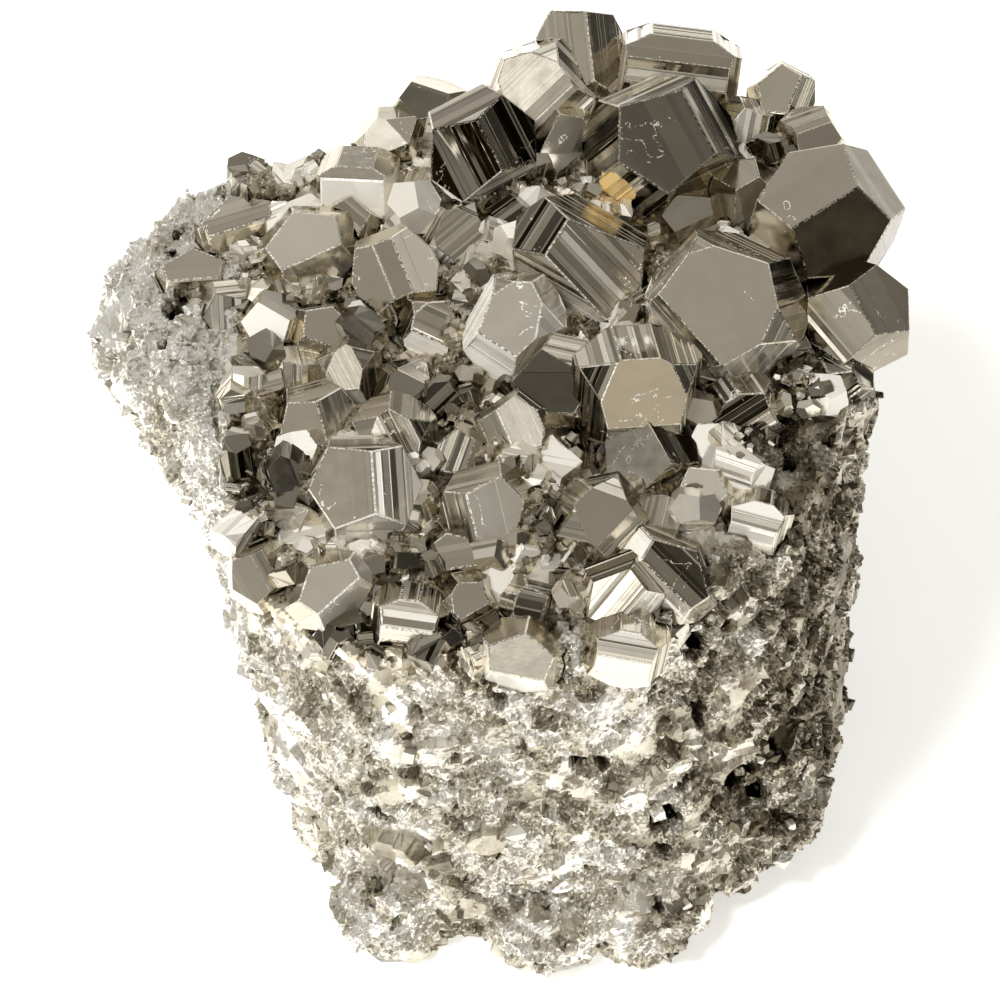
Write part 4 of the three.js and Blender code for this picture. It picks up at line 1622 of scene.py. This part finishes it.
@dataclass
class GranularBlock:
    """The broken block: its core, its crumpled skin and the grains and small crystals on it."""

    grown: bpy.types.Material
    # The upper face that carries the crystals: its height at the axis and how it climbs.
    top_mm: float = 48.4
    climb_back: float = 0.11
    climb_right: float = 0.06
    wing_from_mm: float = -14.0
    wing_droop: float = 0.006
    field_depth_mm: float = 2.4
    field_left_mm: float = -25.0
    bare_corner_mm: float = 40.0
    socket_mm: float = 0.55
    foot_mm: float = 2.5

    def build(self) -> None:
        """Builds, dresses and mounts the core, the skin and every layer."""
        broken = BrokenPyrite().material()
        near_crystals = self._crystal_tree()
        closed = piece_from(merged_copy(BLOCK_NODE), "closed_block")
        skin = CrumpledSkin("crumpled_skin", broken).crumple(closed)
        parts = [
            self._kept(skin, "skin_left", lambda p: not self._in_field(p) and p.x < 0),
            self._kept(skin, "skin_right", lambda p: not self._in_field(p) and p.x >= 0),
            self._kept(skin, "skin_field", self._in_field),
        ]
        # The field between the crystals takes the darker copy: painted shade.
        parts[-1].data.materials[0] = SHADED_GAP_PYRITE.material()
        core = self._kept(closed, "block_core", lambda p: self._under(p) or self._socket(near_crystals, p))
        core.data.materials.append(broken)
        for piece in (*parts, core):
            self._mount(piece)
        flank = self._kept(
            closed,
            "flank_carrier",
            lambda p: p.z > self.foot_mm * MM and not (
                self._in_field(p) or self._socket(near_crystals, p)
            ),
        )
        gaps = self._kept(
            closed, "field_carrier", lambda p: self._in_field(p) and not self._socket(near_crystals, p)
        )
        shapes = GrainShapes()
        shards, blocks, crystals = shapes.shards(), shapes.blocks(), shapes.pyritohedra()
        # Each layer: its name, shapes and finish, how many in a square millimetre, the smallest
        # and the largest, how far they are sunk and how far apart they stay, and its seed.
        layers = [
            (GrainLayer("coarse_grains", shards, broken, 0.020, 1.8, 4.0, 1.5, 1.8, 21), flank),
            (GrainLayer("block_grains", blocks, broken, 0.06, 1.0, 2.6, 0.8, 1.2, 22), flank),
            (GrainLayer("small_grains", shards, broken, 0.08, 0.6, 1.4, 0.4, 0.9, 23), flank),
            (GrainLayer("small_crystals", crystals, self.grown, 0.24, 2.4, 5.8, 0.8, 1.8, 25), gaps),
            (GrainLayer("gap_grains", crystals, self.grown, 0.50, 0.9, 2.4, 0.2, 0.9, 26), gaps),
        ]
        for layer, carrier in layers:
            self._mount(layer.scatter(carrier))
        for spare in (closed, skin, flank, gaps):
            bpy.data.objects.remove(spare)
        shapes.discard()

    def _mount(self, piece: Piece) -> None:
        """Puts a piece on the specimen in the block's place.

        Args:
            piece: the finished piece.
        """
        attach(piece, BODY)
        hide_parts(BLOCK_NODE)
        LOG.info("%s: %d faces", piece.name, len(piece.data.polygons))

    @staticmethod
    def _crystal_tree() -> BVHTree:
        """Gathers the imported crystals, to tell what lies close to them.

        Returns:
            All their faces, ready to search.
        """
        crystals = bmesh.new()
        for node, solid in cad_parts.items():
            if node != BLOCK_NODE:
                crystals.from_mesh(solid.data)
        tree = BVHTree.FromBMesh(crystals)
        crystals.free()
        return tree

    def _socket(self, crystals: BVHTree, place: Vector) -> bool:
        """Whether a place lies in the socket of a crystal."""
        return crystals.find_nearest(place, self.socket_mm * MM)[0] is not None

    @staticmethod
    def _under(place: Vector) -> bool:
        """Whether a place lies on the base."""
        return place.z < UNDERSIDE_MM * MM

    def _in_field(self, place: Vector) -> bool:
        """Tells whether a place lies on the upper face that carries the crystals.

        Args:
            place: any point, in metres.

        Returns:
            True on the crystals' field.
        """
        x, y, z = (c / MM for c in place)
        beyond = max(0.0, self.wing_from_mm - x)
        top = self.top_mm + self.climb_back * y + self.climb_right * x
        top -= self.wing_droop * beyond**2
        return (
            z > top - self.field_depth_mm
            and x > self.field_left_mm
            and x - y < self.bare_corner_mm
        )

    @staticmethod
    def _kept(source: Piece, name: str, wanted: Callable[[Vector], bool]) -> Piece:
        """Copies the wanted faces of a surface.

        Args:
            source: the surface.
            name: the copy's name.
            wanted: tells by a face's middle whether it is kept.

        Returns:
            The copy.
        """
        mesh = bmesh.new()
        mesh.from_mesh(source.data)
        drop = [f for f in mesh.faces if not wanted(f.calc_center_median())]
        bmesh.ops.delete(mesh, geom=drop, context="FACES")
        kept = piece_from(mesh, name)
        for finish in source.data.materials:
            kept.data.materials.append(finish)
        return kept


# ---- The studio --------------------------------------------------------------------------------


@dataclass(frozen=True)
class Glow:
    """One patch of the surroundings: where it lies, how far it reaches and how bright it is."""

    azimuth: float
    elevation: float
    radius: float
    light: float
    tint: str = "#FFFFFF"
    soft: float = 5.0

    def direction(self) -> Vector:
        """The direction to the patch, with azimuth 0 towards the viewer and 90 to the right."""
        turn, rise = math.radians(self.azimuth), math.radians(self.elevation)
        level = math.cos(rise)
        return Vector((math.sin(turn) * level, -math.cos(turn) * level, math.sin(rise)))


@dataclass
class Studio:
    """A pale floor, soft surroundings with lit and unlit parts, one soft lamp and the camera."""

    target_mm: tuple[float, float, float] = (0.86, 0.37, 26.8)
    distance_mm: float = 420.0
    lens_mm: float = 149.4
    floor_size_mm: float = 3000.0
    floor_tone: str = "#F6F5F2"
    floor_roughness: float = 0.9
    floor_glow: float = 0.62
    lamp_mm: tuple[float, float, float] = (-350.0, -250.0, 750.0)
    lamp_size_mm: float = 250.0
    lamp_watts: float = 6.0
    room: float = 0.36
    room_tint: str = "#F8F6F0"
    glows: tuple[Glow, ...] = (
        Glow(180, 75, 32, 0.52, "#F5F2EC", 16),
        Glow(-42, 56, 34, 0.46, "#FBF7F0", 14),
        Glow(40, 52, 22, 0.27, "#F2EDE4", 8),
        Glow(0, 60, 12, 0.36, "#F4F0E8", 6),
        Glow(-28, 8, 20, 0.07, "#EFEBE4", 7),
        Glow(0, 8, 18, 0.20, "#EFEBE4", 6),
        Glow(85, 24, 24, 0.06, "#EFEBE4", 8),
        Glow(22, 15, 9, 0.62, "#FFF4E2", 4),
        Glow(-14, 37, 7, 2.4, "#FFFFFF", 3),
        Glow(-42, 52, 6, 1.6, "#FFFFFF", 3),
        Glow(92, 44, 12, 0.55, "#F4EFEA", 6),
        Glow(-115, 36, 14, 0.42, "#F6F3EC", 6),
        Glow(-130, 48, 14, 0.48, "#F4EFEA", 6),
        Glow(128, 4, 24, 0.08, "#EFEBE4", 8),
        Glow(-160, 16, 20, 0.50, "#F4EFEA", 8),
        Glow(165, 35, 16, 1.1, "#FFFFFF", 5),
    )

    def build(self) -> None:
        """Sets up the floor, the surroundings, the lamp and the camera."""
        self._floor()
        self._surroundings()
        self._lamp()
        self._camera()
        bpy.context.scene.view_settings.view_transform = "Standard"

    def _floor(self) -> None:
        """Lays the pale floor, which also glows a little, as a lit table does."""
        mesh = bmesh.new()
        bmesh.ops.create_grid(mesh, x_segments=1, y_segments=1, size=self.floor_size_mm * MM / 2)
        floor = piece_from(mesh, "floor")
        # Matt paper, with no gloss at all: only the soft shadow and its own pale tone show.
        made = bpy.data.materials.new("matt paper sweep")
        made.use_nodes = True
        shader = made.node_tree.nodes["Principled BSDF"]
        shader.inputs["Base Color"].default_value = linear(self.floor_tone)
        shader.inputs["Roughness"].default_value = self.floor_roughness
        shader.inputs["Emission Color"].default_value = linear(self.floor_tone)
        shader.inputs["Emission Strength"].default_value = self.floor_glow
        floor.data.materials.append(made)

    def _surroundings(self) -> None:
        """Paints the room round the specimen: patches of light and dark on a mid grey."""
        world = bpy.data.worlds.new("room")
        bpy.context.scene.world = world
        world.use_nodes = True
        tree = world.node_tree
        tree.nodes.clear()
        place = add_node(tree, "ShaderNodeTexCoord")
        colour = self._light(self.room, self.room_tint)
        for glow in self.glows:
            facing = add_node(
                tree,
                "ShaderNodeVectorMath",
                {0: place.outputs["Generated"], 1: glow.direction()},
                operation="DOT_PRODUCT",
            )
            share = add_node(
                tree,
                "ShaderNodeMapRange",
                {
                    "Value": facing.outputs["Value"],
                    "From Min": math.cos(math.radians(glow.radius + glow.soft)),
                    "From Max": math.cos(math.radians(glow.radius - glow.soft)),
                },
                interpolation_type="SMOOTHSTEP",
            )
            patch = add_node(
                tree,
                "ShaderNodeMix",
                {0: share.outputs["Result"], 6: colour, 7: self._light(glow.light, glow.tint)},
                data_type="RGBA",
            )
            colour = patch.outputs[2]
        shine = add_node(tree, "ShaderNodeBackground", {"Color": colour})
        add_node(tree, "ShaderNodeOutputWorld", {"Surface": shine.outputs[0]})

    @staticmethod
    def _light(amount: float, tint: str) -> tuple[float, float, float, float]:
        """Scales a tint to a brightness.

        Args:
            amount: the brightness.
            tint: the colour as #RRGGBB.

        Returns:
            The linear colour.
        """
        red, green, blue, _ = linear(tint)
        return red * amount, green * amount, blue * amount, 1.0

    def _lamp(self) -> None:
        """Hangs one soft lamp above and to the left, for the shadow on the floor."""
        data = bpy.data.lights.new("soft lamp", "AREA")
        data.shape = "DISK"
        data.size = self.lamp_size_mm * MM
        data.energy = self.lamp_watts
        lamp = bpy.data.objects.new("soft lamp", data)
        lamp.location = Vector(self.lamp_mm) * MM
        lamp.rotation_euler = (-lamp.location).to_track_quat("-Z", "Y").to_euler()
        lamp.visible_glossy = False
        bpy.context.scene.collection.objects.link(lamp)

    def _camera(self) -> None:
        """Places the camera on the display side."""
        data = bpy.data.cameras.new("camera")
        data.lens = self.lens_mm
        data.sensor_width = 36.0
        data.clip_start, data.clip_end = 0.01, 10.0
        camera = bpy.data.objects.new("camera", data)
        camera.location = (Vector(self.target_mm) + DISPLAY * self.distance_mm) * MM
        camera.rotation_euler = (-DISPLAY).to_track_quat("-Z", "Y").to_euler()
        bpy.context.scene.collection.objects.link(camera)
        bpy.context.scene.camera = camera


def main() -> None:
    """Builds the specimen and its studio."""
    logging.basicConfig(level=logging.INFO, format="%(name)s %(message)s")
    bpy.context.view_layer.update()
    crystals = CrystalField()
    crystals.build()
    GranularBlock(bpy.data.materials[crystals.finish.name]).build()
    Studio().build()


if __name__ == "__main__":
    main()
